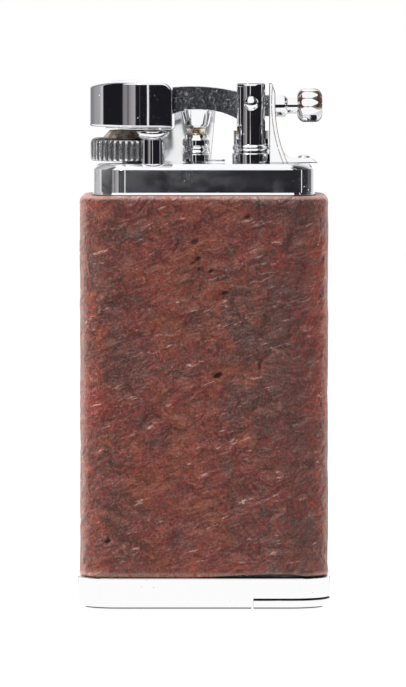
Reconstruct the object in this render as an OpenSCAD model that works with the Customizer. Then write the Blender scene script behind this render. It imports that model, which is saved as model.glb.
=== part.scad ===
// Pipe lighter: a gas lighter in a rusticated wood sleeve, with a lifting snuffer arm on its open head.
// Millimetres. X runs along the width (arm pivot at +X), Y to the back, Z up. Origin: middle of the underside.

/* [Body] */
// Width of the wood sleeve
sleeve_w = 32.8; // [31:0.1:36]
// Depth of the wood sleeve, front to back
sleeve_d = 18.4; // [16:0.1:20.4]
// Height of the wood sleeve
sleeve_h = 50.1; // [46:0.1:60]
// Plan radius of the sleeve's corners
sleeve_r = 5; // [4:0.1:6.5]
// Wall of the wood sleeve
sleeve_wall = 1.8; // [1.4:0.1:2.2]
// Rounding of the sleeve's top and bottom edges
sleeve_edge = 1; // [0.4:0.1:1.3]
// Height of the chromed base
base_h = 4.4; // [4:0.1:6]
// How far the base stands out beyond the sleeve, each side
base_flare = 0.2; // [0:0.05:0.5]
// Rounding of the base's bottom edge
base_round = 2; // [1:0.1:2.4]
// Wall of the fuel tank
tank_wall = 0.8; // [0.6:0.1:1.2]

/* [Head plate] */
// Step from the sleeve to the head plate at each end
head_step_x = 1.9; // [1.5:0.05:2.2]
// Step from the sleeve to the head plate, front and back
head_step_y = 1.6; // [1.2:0.05:1.8]
// Height of the head plate above the sleeve
head_h = 4.1; // [3.6:0.1:6]
// Plan radius of the head plate's corners
head_r = 4.3; // [3:0.1:5.2]
// Chamfer round the head plate's top
head_bevel = 0.3; // [0.1:0.05:0.5]

/* [Thumb wheel] */
// Distance of the wheel's axis from the head plate's left end
wheel_inset = 4.3; // [4.1:0.05:4.7]
// Diameter of the knurled wheel
wheel_d = 9.5; // [9:0.1:9.7]
// Height of the knurled wheel
wheel_h = 3; // [2.6:0.1:3.1]
// Number of grooves in the knurl
wheel_grooves = 38; // [24:1:40]
// Radius of one knurl groove
groove_r = 0.26; // [0.15:0.01:0.3]
// Diameter of the steel striker pressed into the wheel
striker_d = 7.9; // [7.5:0.1:8]
// Height of the steel cone on top of the wheel
cone_h = 1; // [0.5:0.05:1.05]
// Diameter of the wheel's axle
axle_d = 1.3; // [1:0.1:1.4]
// Number of notches in the striker's underside
striker_notches = 18; // [12:1:24]

/* [Burner] */
// Distance of the burner in front of the middle, as a share of half the head plate's depth
burner_share = 0.71; // [0.66:0.01:0.74]
// Diameter of the burner pillar
burner_d = 3; // [2.6:0.1:3.1]
// Diameter of the burner's flared cup
cup_d = 4.36; // [3.6:0.1:4.5]
// Diameter of the gas bore
gas_bore = 1.2; // [0.8:0.1:1.6]

/* [Valve] */
// Distance of the valve left of the middle
valve_x = 1; // [0.8:0.1:1.3]
// Diameter of the valve's rings
valve_d = 3.65; // [3.5:0.05:3.9]
// Diameter of the valve's waist
valve_waist = 3; // [2.9:0.05:3.3]
// Lift of the valve stem when the arm is up
valve_lift = 0.8; // [0.4:0.1:0.9]
// Diameter of the valve stem
stem_d = 1.2; // [1:0.05:1.3]

/* [Arm] */
// Distance of the arm's pivot from the head plate's right end
pivot_inset = 8.3; // [8.1:0.1:8.5]
// Height of the arm's pivot above the head plate
pivot_h = 7.8; // [7.7:0.1:8.2]
// Thickness of the arm, front to back
arm_t = 2.6; // [2:0.1:2.8]
// Radius of the arched top of the arm
arm_arch = 26; // [24:0.5:40]
// Radius of the hollow under the arm
arm_hollow = 10.4; // [9.6:0.1:12]
// Diameter of the pivot pin
pin_d = 1.2; // [1:0.1:1.5]
// Diameter of the pin's domed heads
pin_head_d = 1.95; // [1.7:0.05:2.1]

/* [Snuffer] */
// How far the cap's left end stands out beyond the head plate
cap_overhang = 0.56; // [0.1:0.02:0.9]
// Right face of the snuffer cap, left of the middle
cap_right = 4.16; // [4:0.02:4.4]
// Height of the snuffer cap
cap_h = 6.3; // [6:0.05:7]
// Rounding of the cap's edge beside the arm
cap_round = 1.4; // [0.8:0.1:2]
// Thickness of the pad under the cap
pad_t = 0.3; // [0.2:0.05:0.4]
// Diameter of the button that closes the valve
button_d = 4.34; // [3.8:0.02:4.5]

/* [Post and bracket] */
// Diameter of the pivot post
post_d = 4.6; // [4.5:0.05:4.8]
// Height of the post above the head plate
post_h = 10.35; // [10:0.05:11]
// Thickness of the bracket at its top, front to back
bracket_t = 3.9; // [3.8:0.05:4.2]
// Thickness of the bracket at its foot, front to back
bracket_foot_t = 6.6; // [5.8:0.1:7]
// Radius of the bracket's hollow edge
bracket_sweep = 20; // [18:0.1:24]
// Thickness of the bracket's foot
foot_t = 0.7; // [0.5:0.05:0.75]

/* [Finger knob] */
// Diameter of the finger knob
knob_d = 4.5; // [4:0.05:4.55]
// Length of the finger knob
knob_l = 3.3; // [3:0.05:3.4]
// Number of flutes round the knob
knob_flutes = 14; // [10:1:14]
// Diameter of the lever's shaft
shaft_d = 2.9; // [2.4:0.05:2.95]
// Distance from the pivot to the knob
knob_reach = 6.1; // [6:0.05:6.3]

/* [Flint] */
// Diameter of the flint
flint_d = 2.4; // [2.2:0.05:2.45]
// Length of the flint
flint_l = 5; // [3:0.1:6]
// Distance from the wheel's axis to the flint
flint_reach = 2.7; // [2.65:0.05:2.75]
// Wall of the flint tube
flint_wall = 0.35; // [0.3:0.05:0.4]
// Number of turns of the flint spring
flint_turns = 14; // [8:1:18]

/* [Tamper] */
// Distance of the tamper rod from the sleeve's right end
tamper_inset = 5.3; // [5:0.1:5.9]
// Diameter of the tamper rod
tamper_d = 2.4; // [2:0.1:2.6]
// Length of the tamper rod
tamper_l = 43; // [30:0.5:44]
// Length of the tamper's head plate
tamper_head_l = 9.6; // [8:0.1:10]
// Thickness of the tamper's head plate
tamper_head_t = 1.1; // [0.9:0.05:1.3]

/* [Filler] */
// Distance of the filler valve left of the middle
filler_x = 0.8; // [0:0.1:1.2]
// Diameter of the filler valve
filler_d = 4.4; // [4:0.1:5]
// Travel of the filler stem
filler_travel = 0.8; // [0.4:0.1:1]

/* [Clearances] */
// Radial running clearance of shafts
run_gap = 0.05; // [0.03:0.01:0.08]
// Gap between parts that pass each other
pass_gap = 0.25; // [0.2:0.01:0.3]
// Gap between parts that are fitted together
fit_gap = 0.05; // [0.03:0.01:0.08]

/* [Hidden] */
$fn = 64;
over = 1;  // how far a cut runs past a face

// Places along the head, tied to the sleeve's ends
head_w = sleeve_w - 2 * head_step_x;
head_d = sleeve_d - 2 * head_step_y;
wheel_x = head_w / 2 - wheel_inset;
pivot_x = head_w / 2 - pivot_inset;
cap_left = head_w / 2 + cap_overhang;
tamper_x = sleeve_w / 2 - tamper_inset;

// Heights
sleeve_z0 = base_h;
sleeve_z1 = base_h + sleeve_h;
gasket_t = 0.1;
head_z0 = sleeve_z1 + gasket_t;
deck_z = head_z0 + head_h;
tank_z1 = sleeve_z1;
wheel_z0 = deck_z + pass_gap;
wheel_z1 = wheel_z0 + wheel_h;
cone_z1 = wheel_z1 + cone_h;
pad_left = 2.06;
pad_side = 0.5;
pad_right = 0.14;
pad_hole_w = 0.4;
pad_z0 = cone_z1 + pass_gap;
cap_z0 = pad_z0 + pad_t;
cap_z1 = cap_z0 + cap_h;
pivot_z = deck_z + pivot_h;
post_z1 = deck_z + post_h;

// Burner, beside the wheel
burner_gap = 0.185;
burner_reach = wheel_d / 2 + burner_d / 2 + burner_gap;
burner_y = burner_share * head_d / 2;
burner_x = wheel_x - sqrt(burner_reach ^ 2 - burner_y ^ 2);
funnel_z0 = wheel_z1 - 0.05;
funnel_h = 0.65;
cup_rim_h = 0.4;
cup_z1 = min(funnel_z0 + funnel_h + cup_rim_h, pad_z0 - pass_gap + 0.05);
spigot_d = 1.9;
spigot_l = 1;
gasket_inset = 0.5;
pillar_root = 2.5;

// Valve
ring_h = 1;
waist_h = 1.1;
shoulder_h = 0.5;
brass_h = 0.15;
adjuster_gap = 0.1;
adjuster_z0 = deck_z + adjuster_gap;
waist_z0 = adjuster_z0 + ring_h + adjuster_gap;
ring_z0 = waist_z0 + waist_h;
shoulder_z0 = ring_z0 + ring_h;
brass_z0 = shoulder_z0 + shoulder_h;
brass_d = valve_d - 0.85;
core_d = valve_waist - 0.3;
chamber_d = core_d - 0.7;
valve_root_l = 2.2;
valve_root = deck_z - head_h - valve_root_l;
flange_t = 0.4;
chamber_z1 = ring_z0 + 0.4;
flange_z0 = chamber_z1 - valve_lift - flange_t - 0.05;
chamber_z0 = valve_root + 0.6;
valve_wire = 0.16;
valve_turns = 6;

// Arm, with its arcs measured from the head plate and the pivot
arm_top_x = -1.6;
arm_rise = 10.05;
arm_top_z = deck_z + arm_rise;
arm_under_x = -0.6;
arm_under_rise = 7;
arm_under_z = deck_z + arm_under_rise;
eye_r = 1.75;
eye_low = 1.62;
tail_h = 2.8;
tail_x = pivot_x + post_d / 2 + 0.1;
tail_drop = 0.3;
tail_z = pivot_z - tail_drop;
slot_w = arm_t + 2 * run_gap;
slot_depth = 3.3;
slot_z0 = pivot_z - slot_depth;
post_root_step = 0.8;
post_root_d = post_d - 2 * post_root_step;
post_foot_r = post_d / 2 + 0.2;
post_foot_h = 1.25;
bead_gap = 0.15;
bead_h = 1.1;
pin_head_h = 0.75;
pin_rim = 0.2;
spot_y = post_d / 2 - 0.25;
button_sink = 0.45;
button_z = arm_under_z - button_sink;
stem_gap = 0.1;
stem_inset = 0.2;
stem_z1 = button_z - button_d / 2 - stem_gap;

// Shaft and knob
knob_x0 = pivot_x + knob_reach;
neck_d = 2.1;
neck_l = 1.3;
stud_d = 1.2;
stud_l = 1.4;
taper_l = 0.35;
knob_round = 0.7;
flute_r = 1.1;
flute_depth = 0.16;

// Bracket
bracket_top = post_z1 + 0.05;
bracket_x0 = pivot_x + post_d / 2 + 2 * fit_gap;
bracket_edge = 0.8;
bracket_edge_x = bracket_x0 + bracket_edge;
bracket_slot_drop = 4.7;
bracket_slot_z = pivot_z - bracket_slot_drop;
bracket_slot_w = shaft_d + 0.2;
foot_z1 = deck_z + foot_t;
foot_fillet = 1.6;
foot_end = head_w / 2 + 0.55;
foot_slope = 0.9;
bracket_screw_inset = 1.3;
bracket_screw_x = head_w / 2 - bracket_screw_inset;
bracket_screw_d = 1.7;
bracket_screw_h = 0.28;
bracket_shank_d = 1;

// Wind guard
guard_t = 0.5;
guard_lean = 8;
guard_inset = 2.5;
guard_y = head_d / 2 - guard_inset;
guard_x0 = -8.4;
guard_x1 = 1.6;
guard_low = cap_z0 - pad_t - pass_gap;
guard_step_x = -cap_right + pass_gap;
guard_h = 7.2;
guard_z1 = deck_z + guard_h;
guard_slant = 0.7;
guard_foot = 1;
guard_foot_inset = 0.3;

// Flint, on the line from the wheel's axis to the burner
flint_turn = atan2(-burner_y, wheel_x - burner_x);
flint_x = -wheel_x + flint_reach * cos(flint_turn);
flint_y = flint_reach * sin(flint_turn);
flint_tube_r = flint_d / 2 + run_gap + flint_wall;
flint_z1 = wheel_z0 - 0.05;
flint_tube_z1 = deck_z;
pusher_h = 1;
flint_screw_head_d = 5;
flint_screw_z1 = 10;
flint_wire = 0.35;
screw_recess = 0.4;
screw_head_t = 1.2;
screw_slot_w = 0.7;
screw_slot_h = 0.6;

// Tamper
tamper_gap = 0.25;
tamper_head_end = 0.45;
tamper_rest = 0.05;
tamper_tube_wall = 0.35;
tamper_head_x0 = sleeve_w / 2 - tamper_head_end - tamper_head_l;
tamper_tip_l = 3;
tamper_rod_z0 = tamper_rest + tamper_head_t;
tamper_end_gap = 1;
tamper_tube_z1 = tamper_rod_z0 + tamper_l + tamper_end_gap;
grip_z = 2.2;
grip_h = 1.1;
grip_w = 0.9;
lip_w = 0.5;

// Filler
filler_recess = 0.6;
filler_flange_t = 0.8;
filler_lip = 1;
filler_stem_d = 1.4;
filler_flange_w = 0.8;
filler_ring_w = 0.8;
filler_stop_z = filler_lip + filler_ring_w + 0.1;
filler_stop_t = 0.4;
filler_spring_h = 1.5;
filler_h = filler_stop_z + filler_stop_t + filler_travel + filler_spring_h + filler_lip;

// Sizes inside the sleeve
bore_w = sleeve_w - 2 * sleeve_wall;
bore_d = sleeve_d - 2 * sleeve_wall;
bore_r = sleeve_r - sleeve_wall;
tank_w = bore_w - 2 * fit_gap;
tank_d = bore_d - 2 * fit_gap;
tank_r = bore_r - fit_gap;

// Colours as the photograph shows them
chrome = [0.78, 0.79, 0.81];
dark_chrome = [0.5, 0.51, 0.54];
wood = [0.45, 0.27, 0.24];
steel = [0.42, 0.4, 0.37];
brass = [0.72, 0.55, 0.25];
rubber = [0.12, 0.12, 0.12];

// A block with a rounded plan whose edge follows a profile. The profile's x is the distance from a corner's centre.
module edged_block(w, d, r) {
    inner_w = w - 2 * r;
    inner_d = d - 2 * r;
    for (sx = [-1, 1], sy = [-1, 1])
        translate([sx * inner_w / 2, sy * inner_d / 2, 0]) rotate_extrude() children();
    for (turn = [0, 180])
        rotate([0, 0, turn]) {
            translate([-inner_w / 2, inner_d / 2, 0]) rotate([90, 0, 90])
                linear_extrude(inner_w) children();
            translate([inner_w / 2, inner_d / 2, 0]) rotate([90, 0, 0])
                linear_extrude(inner_d) children();
        }
}

// Profile with rounded outer corners, from z0 to z1
module round_profile(r, z0, z1, low, high) {
    difference() {
        translate([0, z0]) square([r, z1 - z0]);
        if (low > 0)
            difference() {
                translate([r - low, z0 - over]) square([low + over, low + over]);
                translate([r - low, z0 + low]) circle(low);
            }
        if (high > 0)
            difference() {
                translate([r - high, z1 - high]) square([high + over, high + over]);
                translate([r - high, z1 - high]) circle(high);
            }
    }
}

// Block with a rounded plan and rounded bottom and top edges
module rounded_block(w, d, r, z0, z1, low = 0, high = 0) {
    edged_block(w, d, r) round_profile(r, z0, z1, low, high);
    translate([-(w / 2 - r), -(d / 2 - r), z0]) cube([w - 2 * r, d - 2 * r, z1 - z0]);
}

// Plain block with a rounded plan
module plan_block(w, d, r, z0, z1) {
    translate([0, 0, z0]) linear_extrude(z1 - z0) {
        square([w - 2 * r, d], center = true);
        square([w, d - 2 * r], center = true);
        for (sx = [-1, 1], sy = [-1, 1])
            translate([sx * (w / 2 - r), sy * (d / 2 - r)]) circle(r);
    }
}

// Upright cylinder between two heights
module pillar(x, y, z0, z1, d) {
    translate([x, y, z0]) cylinder(h = z1 - z0, d = d);
}

// Upright tube between two heights
module tube(x, y, z0, z1, d, bore) {
    difference() {
        pillar(x, y, z0, z1, d);
        pillar(x, y, z0 - over, z1 + over, bore);
    }
}

// Coil spring as one unbroken tube of six sides, with its ends level with z0 and z1
module coil(mean_r, wire, turns, z0, z1) {
    steps = 10;
    sides = 6;
    rise = z1 - z0 - wire;
    rings = turns * steps;
    points = [for (i = [0 : rings], k = [0 : sides - 1])
        let (a = 360 * i / steps, b = 360 * k / sides, r = mean_r + wire / 2 * cos(b))
        [r * cos(a), r * sin(a), z0 + wire / 2 + rise * i / rings + wire / 2 * sin(b)]];
    walls = [for (i = [0 : rings - 1], k = [0 : sides - 1], half = [0, 1])
        let (a = i * sides + k, b = i * sides + (k + 1) % sides)
        half == 0 ? [a, a + sides, b + sides] : [a, b + sides, b]];
    starts = [for (k = [1 : sides - 2]) [0, k, k + 1]];
    ends = [for (k = [1 : sides - 2]) [rings * sides, rings * sides + k + 1, rings * sides + k]];
    polyhedron(points, concat(walls, starts, ends));
}

// Rusticated wood sleeve, open through its height
module wood_sleeve() {
    color(wood) difference() {
        rounded_block(sleeve_w, sleeve_d, sleeve_r, sleeve_z0, sleeve_z1, sleeve_edge, sleeve_edge);
        plan_block(bore_w, bore_d, bore_r, sleeve_z0 - over, sleeve_z1 + over);
    }
}

// Full form of the base, before the tamper's end is parted from it
module base_form() {
    flare_top = 0.8;
    w = sleeve_w + 2 * base_flare;
    d = sleeve_d + 2 * base_flare;
    r = sleeve_r + base_flare;
    edged_block(w, d, r)
        difference() {
            round_profile(r, 0, base_h, base_round, 0);
            polygon([[r, base_h - flare_top], [r + over, base_h - flare_top], [r + over, base_h + over],
                [r - base_flare, base_h + over], [r - base_flare, base_h]]);
        }
    translate([-(w / 2 - r), -(d / 2 - r), 0]) cube([w - 2 * r, d - 2 * r, base_h]);
}

// Chromed base with its tamper seat, filler seat and flint screw seat
module base_plate() {
    color(chrome) difference() {
        base_form();
        translate([tamper_head_x0 - tamper_gap / 2, -sleeve_d, -over])
            cube([sleeve_w, 2 * sleeve_d, over + tamper_rest + tamper_head_t + tamper_gap]);
        pillar(tamper_x, 0, -over, base_h + over, tamper_d + 2 * run_gap);
        pillar(tamper_x, 0, grip_z, grip_z + grip_h, tamper_d + 2 * grip_w);
        pillar(flint_x, flint_y, -over, screw_recess + screw_head_t, flint_screw_head_d + 2 * fit_gap);
        pillar(flint_x, flint_y, 0, base_h + over, 2 * (flint_tube_r + fit_gap));
        pillar(-filler_x, 0, -over, filler_recess + filler_flange_t, filler_d + 2 * filler_flange_w);
        pillar(-filler_x, 0, 0, base_h + over, filler_d + 2 * fit_gap);
    }
}

// Fuel tank, a closed shell inside the sleeve
module fuel_tank() {
    color(chrome) difference() {
        plan_block(tank_w, tank_d, tank_r, sleeve_z0, tank_z1);
        plan_block(tank_w - 2 * tank_wall, tank_d - 2 * tank_wall, tank_r - tank_wall,
            sleeve_z0 + 2 * tank_wall, tank_z1 - 2 * tank_wall);
        pillar(tamper_x, 0, sleeve_z0 - over, sleeve_z0 + 3 * tank_wall, tamper_tube_d() + 2 * fit_gap);
        pillar(flint_x, flint_y, sleeve_z0 - over, tank_z1 + over, 2 * (flint_tube_r + fit_gap));
        pillar(-filler_x, 0, sleeve_z0 - over, sleeve_z0 + 3 * tank_wall, filler_d + 2 * fit_gap);
        pillar(-valve_x, 0, valve_root - over, tank_z1 + over, core_d + 2 * fit_gap);
    }
}
function tamper_tube_d() = tamper_d + 2 * run_gap + 2 * tamper_tube_wall;

// Thin gasket between the tank and the head plate
module head_gasket() {
    color(rubber) difference() {
        plan_block(head_w - 2 * gasket_inset, head_d - 2 * gasket_inset, head_r - gasket_inset,
            sleeve_z1, head_z0);
        pillar(flint_x, flint_y, sleeve_z1 - over, head_z0 + over, 2 * (flint_tube_r + fit_gap));
        pillar(-valve_x, 0, sleeve_z1 - over, head_z0 + over, core_d + 2 * fit_gap);
    }
}

// Head plate: a chromed block with a chamfered top and a fine rim at its foot
module head_plate() {
    rim = 0.12;
    rim_h = 0.35;
    r = head_r;
    color(chrome) difference() {
        union() {
            edged_block(head_w, head_d, r)
                polygon([[0, head_z0], [r, head_z0], [r, deck_z - head_bevel], [r - head_bevel, deck_z],
                    [0, deck_z]]);
            translate([-(head_w / 2 - r), -(head_d / 2 - r), head_z0])
                cube([head_w - 2 * r, head_d - 2 * r, head_h]);
            edged_block(head_w + 2 * rim, head_d + 2 * rim, r + rim)
                polygon([[0, head_z0], [r + rim, head_z0], [r, head_z0 + rim_h], [0, head_z0 + rim_h]]);
        }
        pillar(flint_x, flint_y, head_z0 - over, deck_z + over, 2 * (flint_tube_r + fit_gap));
        pillar(-valve_x, 0, head_z0 - over, deck_z + over, core_d + 2 * fit_gap);
        pillar(-wheel_x, 0, deck_z - pillar_root, deck_z + over, axle_d + 2 * fit_gap);
        pillar(-burner_x, -burner_y, deck_z - pillar_root, deck_z + over, spigot_d + 2 * fit_gap);
        pillar(pivot_x, 0, deck_z - pillar_root, deck_z + over, post_root_d + 2 * fit_gap);
        pillar(bracket_screw_x, 0, deck_z - pillar_root, deck_z + over, bracket_shank_d + 2 * fit_gap);
    }
}

// Knurled thumb wheel on its upright axle
module thumb_wheel() {
    r = wheel_d / 2;
    top_round = 0.7;
    low_round = 0.3;
    color(dark_chrome) translate([-wheel_x, 0, 0]) difference() {
        rotate_extrude() translate([striker_d / 2, 0])
            round_profile(r - striker_d / 2, wheel_z0, wheel_z1, low_round, top_round);
        for (i = [0 : wheel_grooves - 1])
            rotate([0, 0, 360 * i / wheel_grooves])
                translate([r + groove_r * 0.3, 0, wheel_z0 - over])
                    cylinder(h = wheel_h + 2 * over, r = groove_r, $fn = 24);
    }
}

// Hardened striker: the toothed disc in the wheel, with the cone on top
module striker() {
    r = striker_d / 2;
    cone_r0 = 3.1;
    cone_r1 = 2.25;
    notch = 0.3;
    notch_start = 0.5 * r;
    color(steel) translate([-wheel_x, 0, 0]) difference() {
        rotate_extrude()
            polygon([[axle_d / 2 + run_gap, wheel_z0], [r, wheel_z0], [r, wheel_z1], [cone_r0, wheel_z1 + 0.05],
                [cone_r1, cone_z1], [axle_d / 2 + run_gap, cone_z1]]);
        for (i = [0 : striker_notches - 1])
            rotate([0, 0, 360 * (i + 0.5) / striker_notches])
                translate([notch_start, 0, wheel_z0]) rotate([0, 90, 0]) cylinder(h = r, d = notch);
    }
}

// Axle of the wheel, with a flat head above the cone
module wheel_axle() {
    head_d = 2.2;
    color(chrome) {
        pillar(-wheel_x, 0, deck_z - pillar_root, cone_z1 + run_gap, axle_d);
        pillar(-wheel_x, 0, cone_z1 + run_gap, cone_z1 + pass_gap / 2, head_d);
    }
}

// Burner pillar with the spigot that holds the cup
module burner_pillar() {
    color(chrome) translate([-burner_x, -burner_y, 0]) difference() {
        union() {
            pillar(0, 0, deck_z, funnel_z0, burner_d);
            pillar(0, 0, deck_z - pillar_root, deck_z, spigot_d);
            pillar(0, 0, funnel_z0, funnel_z0 + spigot_l, spigot_d);
        }
        pillar(0, 0, deck_z - pillar_root - over, cup_z1 + over, gas_bore);
    }
}

// Flared cup on the burner
module burner_cup() {
    r = cup_d / 2;
    wall = 0.4;
    color(chrome) translate([-burner_x, -burner_y, 0])
        rotate_extrude()
            polygon([[spigot_d / 2 + fit_gap, funnel_z0], [burner_d / 2, funnel_z0],
                [r, funnel_z0 + funnel_h], [r, cup_z1], [r - wall, cup_z1],
                [spigot_d / 2 + fit_gap, funnel_z0 + wall]]);
}

// Pressed wind guard behind the burner and valve, lower where the cap closes over it
module wind_guard() {
    low_h = (guard_low - deck_z) / cos(guard_lean);
    high_h = guard_h / cos(guard_lean);
    color(chrome) difference() {
        union() {
            translate([0, guard_y, deck_z]) rotate([-guard_lean, 0, 0]) translate([0, guard_t, 0])
                rotate([90, 0, 0]) linear_extrude(guard_t)
                    polygon([[guard_x0, -over], [guard_x1 - guard_slant, -over], [guard_x1 - guard_slant, 0],
                        [guard_x1, high_h], [guard_step_x, high_h], [guard_step_x, low_h], [guard_x0, low_h]]);
            translate([guard_x0 + guard_foot_inset, guard_y, deck_z])
                cube([guard_x1 - guard_slant - guard_x0 - 2 * guard_foot_inset, guard_foot, guard_t]);
        }
        translate([guard_x0 - over, 0, deck_z - 2 * over])
            cube([guard_x1 - guard_x0 + 2 * over, head_d, 2 * over]);
        pillar(-wheel_x, 0, deck_z - over, wheel_z1 + over, wheel_d + 2 * pass_gap);
    }
}

// Turned valve body with a waist between its rings
module valve_body() {
    r = valve_d / 2;
    color(chrome) translate([-valve_x, 0, 0]) difference() {
        union() {
            pillar(0, 0, valve_root, waist_z0, core_d);
            pillar(0, 0, waist_z0, ring_z0, valve_waist);
            pillar(0, 0, ring_z0, shoulder_z0, valve_d);
            translate([0, 0, shoulder_z0]) cylinder(h = shoulder_h, r1 = r, r2 = brass_d / 2);
            translate([0, 0, waist_z0 + waist_h / 2 - 0.15]) cylinder(h = 0.3, d = valve_waist + 0.3);
        }
        pillar(0, 0, chamber_z0, chamber_z1, chamber_d);
        pillar(0, 0, chamber_z1 - over, brass_z0 + over, stem_d + 2 * run_gap);
        pillar(0, 0, valve_root - over, chamber_z0 + over, stem_d + 2 * run_gap);
    }
}

// Ring that sets the flame, with its small lug
module flame_adjuster() {
    lug_w = 1.1;
    lug_l = 1.6;
    lug_h = 0.35;
    lug_turn = -12;
    color(chrome) translate([-valve_x, 0, 0]) {
        tube(0, 0, adjuster_z0, adjuster_z0 + ring_h, valve_d, core_d + 2 * run_gap);
        rotate([0, 0, lug_turn]) translate([valve_d / 2 - 0.1, 0, adjuster_z0]) {
            translate([0, -lug_w / 2, 0]) cube([lug_l, lug_w, lug_h]);
            translate([lug_l, 0, 0]) cylinder(h = lug_h, d = lug_w);
        }
    }
}

// Valve stem with the flange that its spring pushes
module valve_stem() {
    color(steel) translate([-valve_x, 0, 0]) {
        pillar(0, 0, valve_root + stem_inset, stem_z1, stem_d);
        pillar(0, 0, flange_z0, flange_z0 + flange_t, chamber_d - 2 * run_gap);
    }
}

// Spring that lifts the valve stem
module valve_spring() {
    mean_r = (stem_d + chamber_d) / 4;
    color(steel) translate([-valve_x, 0, 0])
        coil(mean_r, valve_wire, valve_turns, chamber_z0 + 0.02, flange_z0 - 0.02);
}

// Brass ring on the valve's shoulder
module valve_ring() {
    color(brass) translate([-valve_x, 0, 0])
        tube(0, 0, brass_z0, brass_z0 + brass_h, brass_d, stem_d + 2 * run_gap);
}

// Slotted pivot post with a bead and a wider foot
module pivot_post() {
    r = post_d / 2;
    bead_r = bead_h / 2;
    bead_out = 0.15;
    edge = 0.35;
    color(dark_chrome) difference() {
        union() {
            translate([pivot_x, 0, 0]) rotate_extrude() {
                round_profile(r, deck_z, post_z1, 0, edge);
                round_profile(post_foot_r, deck_z, deck_z + post_foot_h, 0, bead_out);
                translate([r + bead_out - bead_r, deck_z + post_foot_h + bead_gap + bead_r]) circle(bead_r);
            }
            pillar(pivot_x, 0, deck_z - pillar_root, deck_z, post_root_d);
        }
        translate([pivot_x - post_d, -slot_w / 2, slot_z0]) cube([2 * post_d, slot_w, post_h]);
        translate([pivot_x, 0, pivot_z]) rotate([90, 0, 0])
            cylinder(h = 2 * post_d, d = pin_d, center = true);
        for (side = [-1, 1])
            translate([pivot_x, side * (spot_y + post_d / 2), pivot_z]) rotate([90, 0, 0])
                cylinder(h = post_d, d = pin_head_d + 2 * fit_gap, center = true);
    }
}

// Pivot pin with a domed head at each end
module pivot_pin() {
    dome_r = (pow(pin_head_d / 2, 2) + pow(pin_head_h - pin_rim, 2)) / (2 * (pin_head_h - pin_rim));
    color(chrome) translate([pivot_x, 0, pivot_z]) {
        rotate([90, 0, 0]) cylinder(h = 2 * spot_y, d = pin_d, center = true);
        for (turn = [90, -90])
            rotate([turn, 0, 0]) translate([0, 0, spot_y]) {
                cylinder(h = pin_rim, d = pin_head_d);
                intersection() {
                    translate([0, 0, pin_head_h - dome_r]) sphere(dome_r);
                    translate([0, 0, pin_rim]) cylinder(h = pin_head_h, d = pin_head_d);
                }
            }
    }
}

// Outline of the bracket: a hollow sweep from the post's top to a foot at the head plate's end
module bracket_outline() {
    sweep_x = bracket_edge_x + bracket_sweep;
    fillet_z = foot_z1 + foot_fillet;
    fillet_x = sweep_x - sqrt(pow(bracket_sweep - foot_fillet, 2) - pow(pivot_z - fillet_z, 2));
    touch_z = pivot_z - (pivot_z - fillet_z) * bracket_sweep / (bracket_sweep - foot_fillet);
    difference() {
        translate([bracket_x0, deck_z]) square([foot_end - bracket_x0, bracket_top - deck_z]);
        translate([sweep_x, pivot_z]) difference() {
            circle(bracket_sweep, $fn = 180);
            translate([-2 * bracket_sweep, touch_z - pivot_z - 3 * bracket_sweep])
                square([4 * bracket_sweep, 3 * bracket_sweep]);
        }
        difference() {
            translate([fillet_x - foot_fillet, foot_z1]) square([foot_end, foot_fillet + 0.01]);
            difference() {
                translate([fillet_x - foot_fillet, foot_z1 - over]) square([foot_fillet, foot_fillet + over]);
                translate([fillet_x, fillet_z]) circle(foot_fillet);
            }
        }
        translate([bracket_edge_x, pivot_z]) square([foot_end, post_h]);
        translate([foot_end, deck_z]) polygon([[0, 0], [over, 0], [over, foot_t + over],
            [-foot_slope, foot_t + over], [-foot_slope, foot_t]]);
    }
}

// Cast bracket beside the post, forked to guide the lever's shaft
module side_bracket() {
    top = bracket_t / 2;
    foot = bracket_foot_t / 2;
    color(chrome) difference() {
        intersection() {
            translate([0, foot, 0]) rotate([90, 0, 0]) linear_extrude(bracket_foot_t) bracket_outline();
            translate([pivot_x, 0, 0]) rotate([90, 0, 90]) linear_extrude(foot_end)
                polygon([[-foot, deck_z], [foot, deck_z], [top, bracket_top], [-top, bracket_top]]);
        }
        pillar(pivot_x, 0, deck_z - over, deck_z + post_foot_h + bead_h, 2 * post_foot_r + 4 * fit_gap);
        translate([pivot_x, -bracket_slot_w / 2, bracket_slot_z]) cube([post_d, bracket_slot_w, post_h]);
        pillar(bracket_screw_x, 0, deck_z - over, foot_z1 + over, bracket_shank_d + 2 * fit_gap);
    }
}

// Slotted screw that holds the bracket's foot
module bracket_screw() {
    slot_w = 0.3;
    color(steel) translate([bracket_screw_x, 0, 0]) difference() {
        union() {
            pillar(0, 0, foot_z1, foot_z1 + bracket_screw_h, bracket_screw_d);
            pillar(0, 0, deck_z - pillar_root, foot_z1, bracket_shank_d);
        }
        translate([-bracket_screw_d, -slot_w / 2, foot_z1 + bracket_screw_h / 2])
            cube([2 * bracket_screw_d, slot_w, bracket_screw_h]);
    }
}

// Side view of the arched arm, from the cap to the shaft's seat
module arm_outline() {
    difference() {
        union() {
            intersection() {
                translate([arm_top_x, arm_top_z - arm_arch]) circle(arm_arch, $fn = 180);
                translate([-cap_right, deck_z]) square([cap_right + pivot_x, 2 * pivot_h]);
            }
            translate([pivot_x, pivot_z]) circle(eye_r);
            translate([pivot_x, tail_z - tail_h / 2]) square([tail_x - pivot_x, tail_h]);
        }
        translate([arm_under_x, arm_under_z - arm_hollow]) circle(arm_hollow, $fn = 120);
        translate([pivot_x - eye_r, pivot_z - eye_low - 2 * eye_r]) square([2 * eye_r, 2 * eye_r]);
    }
}

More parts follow.
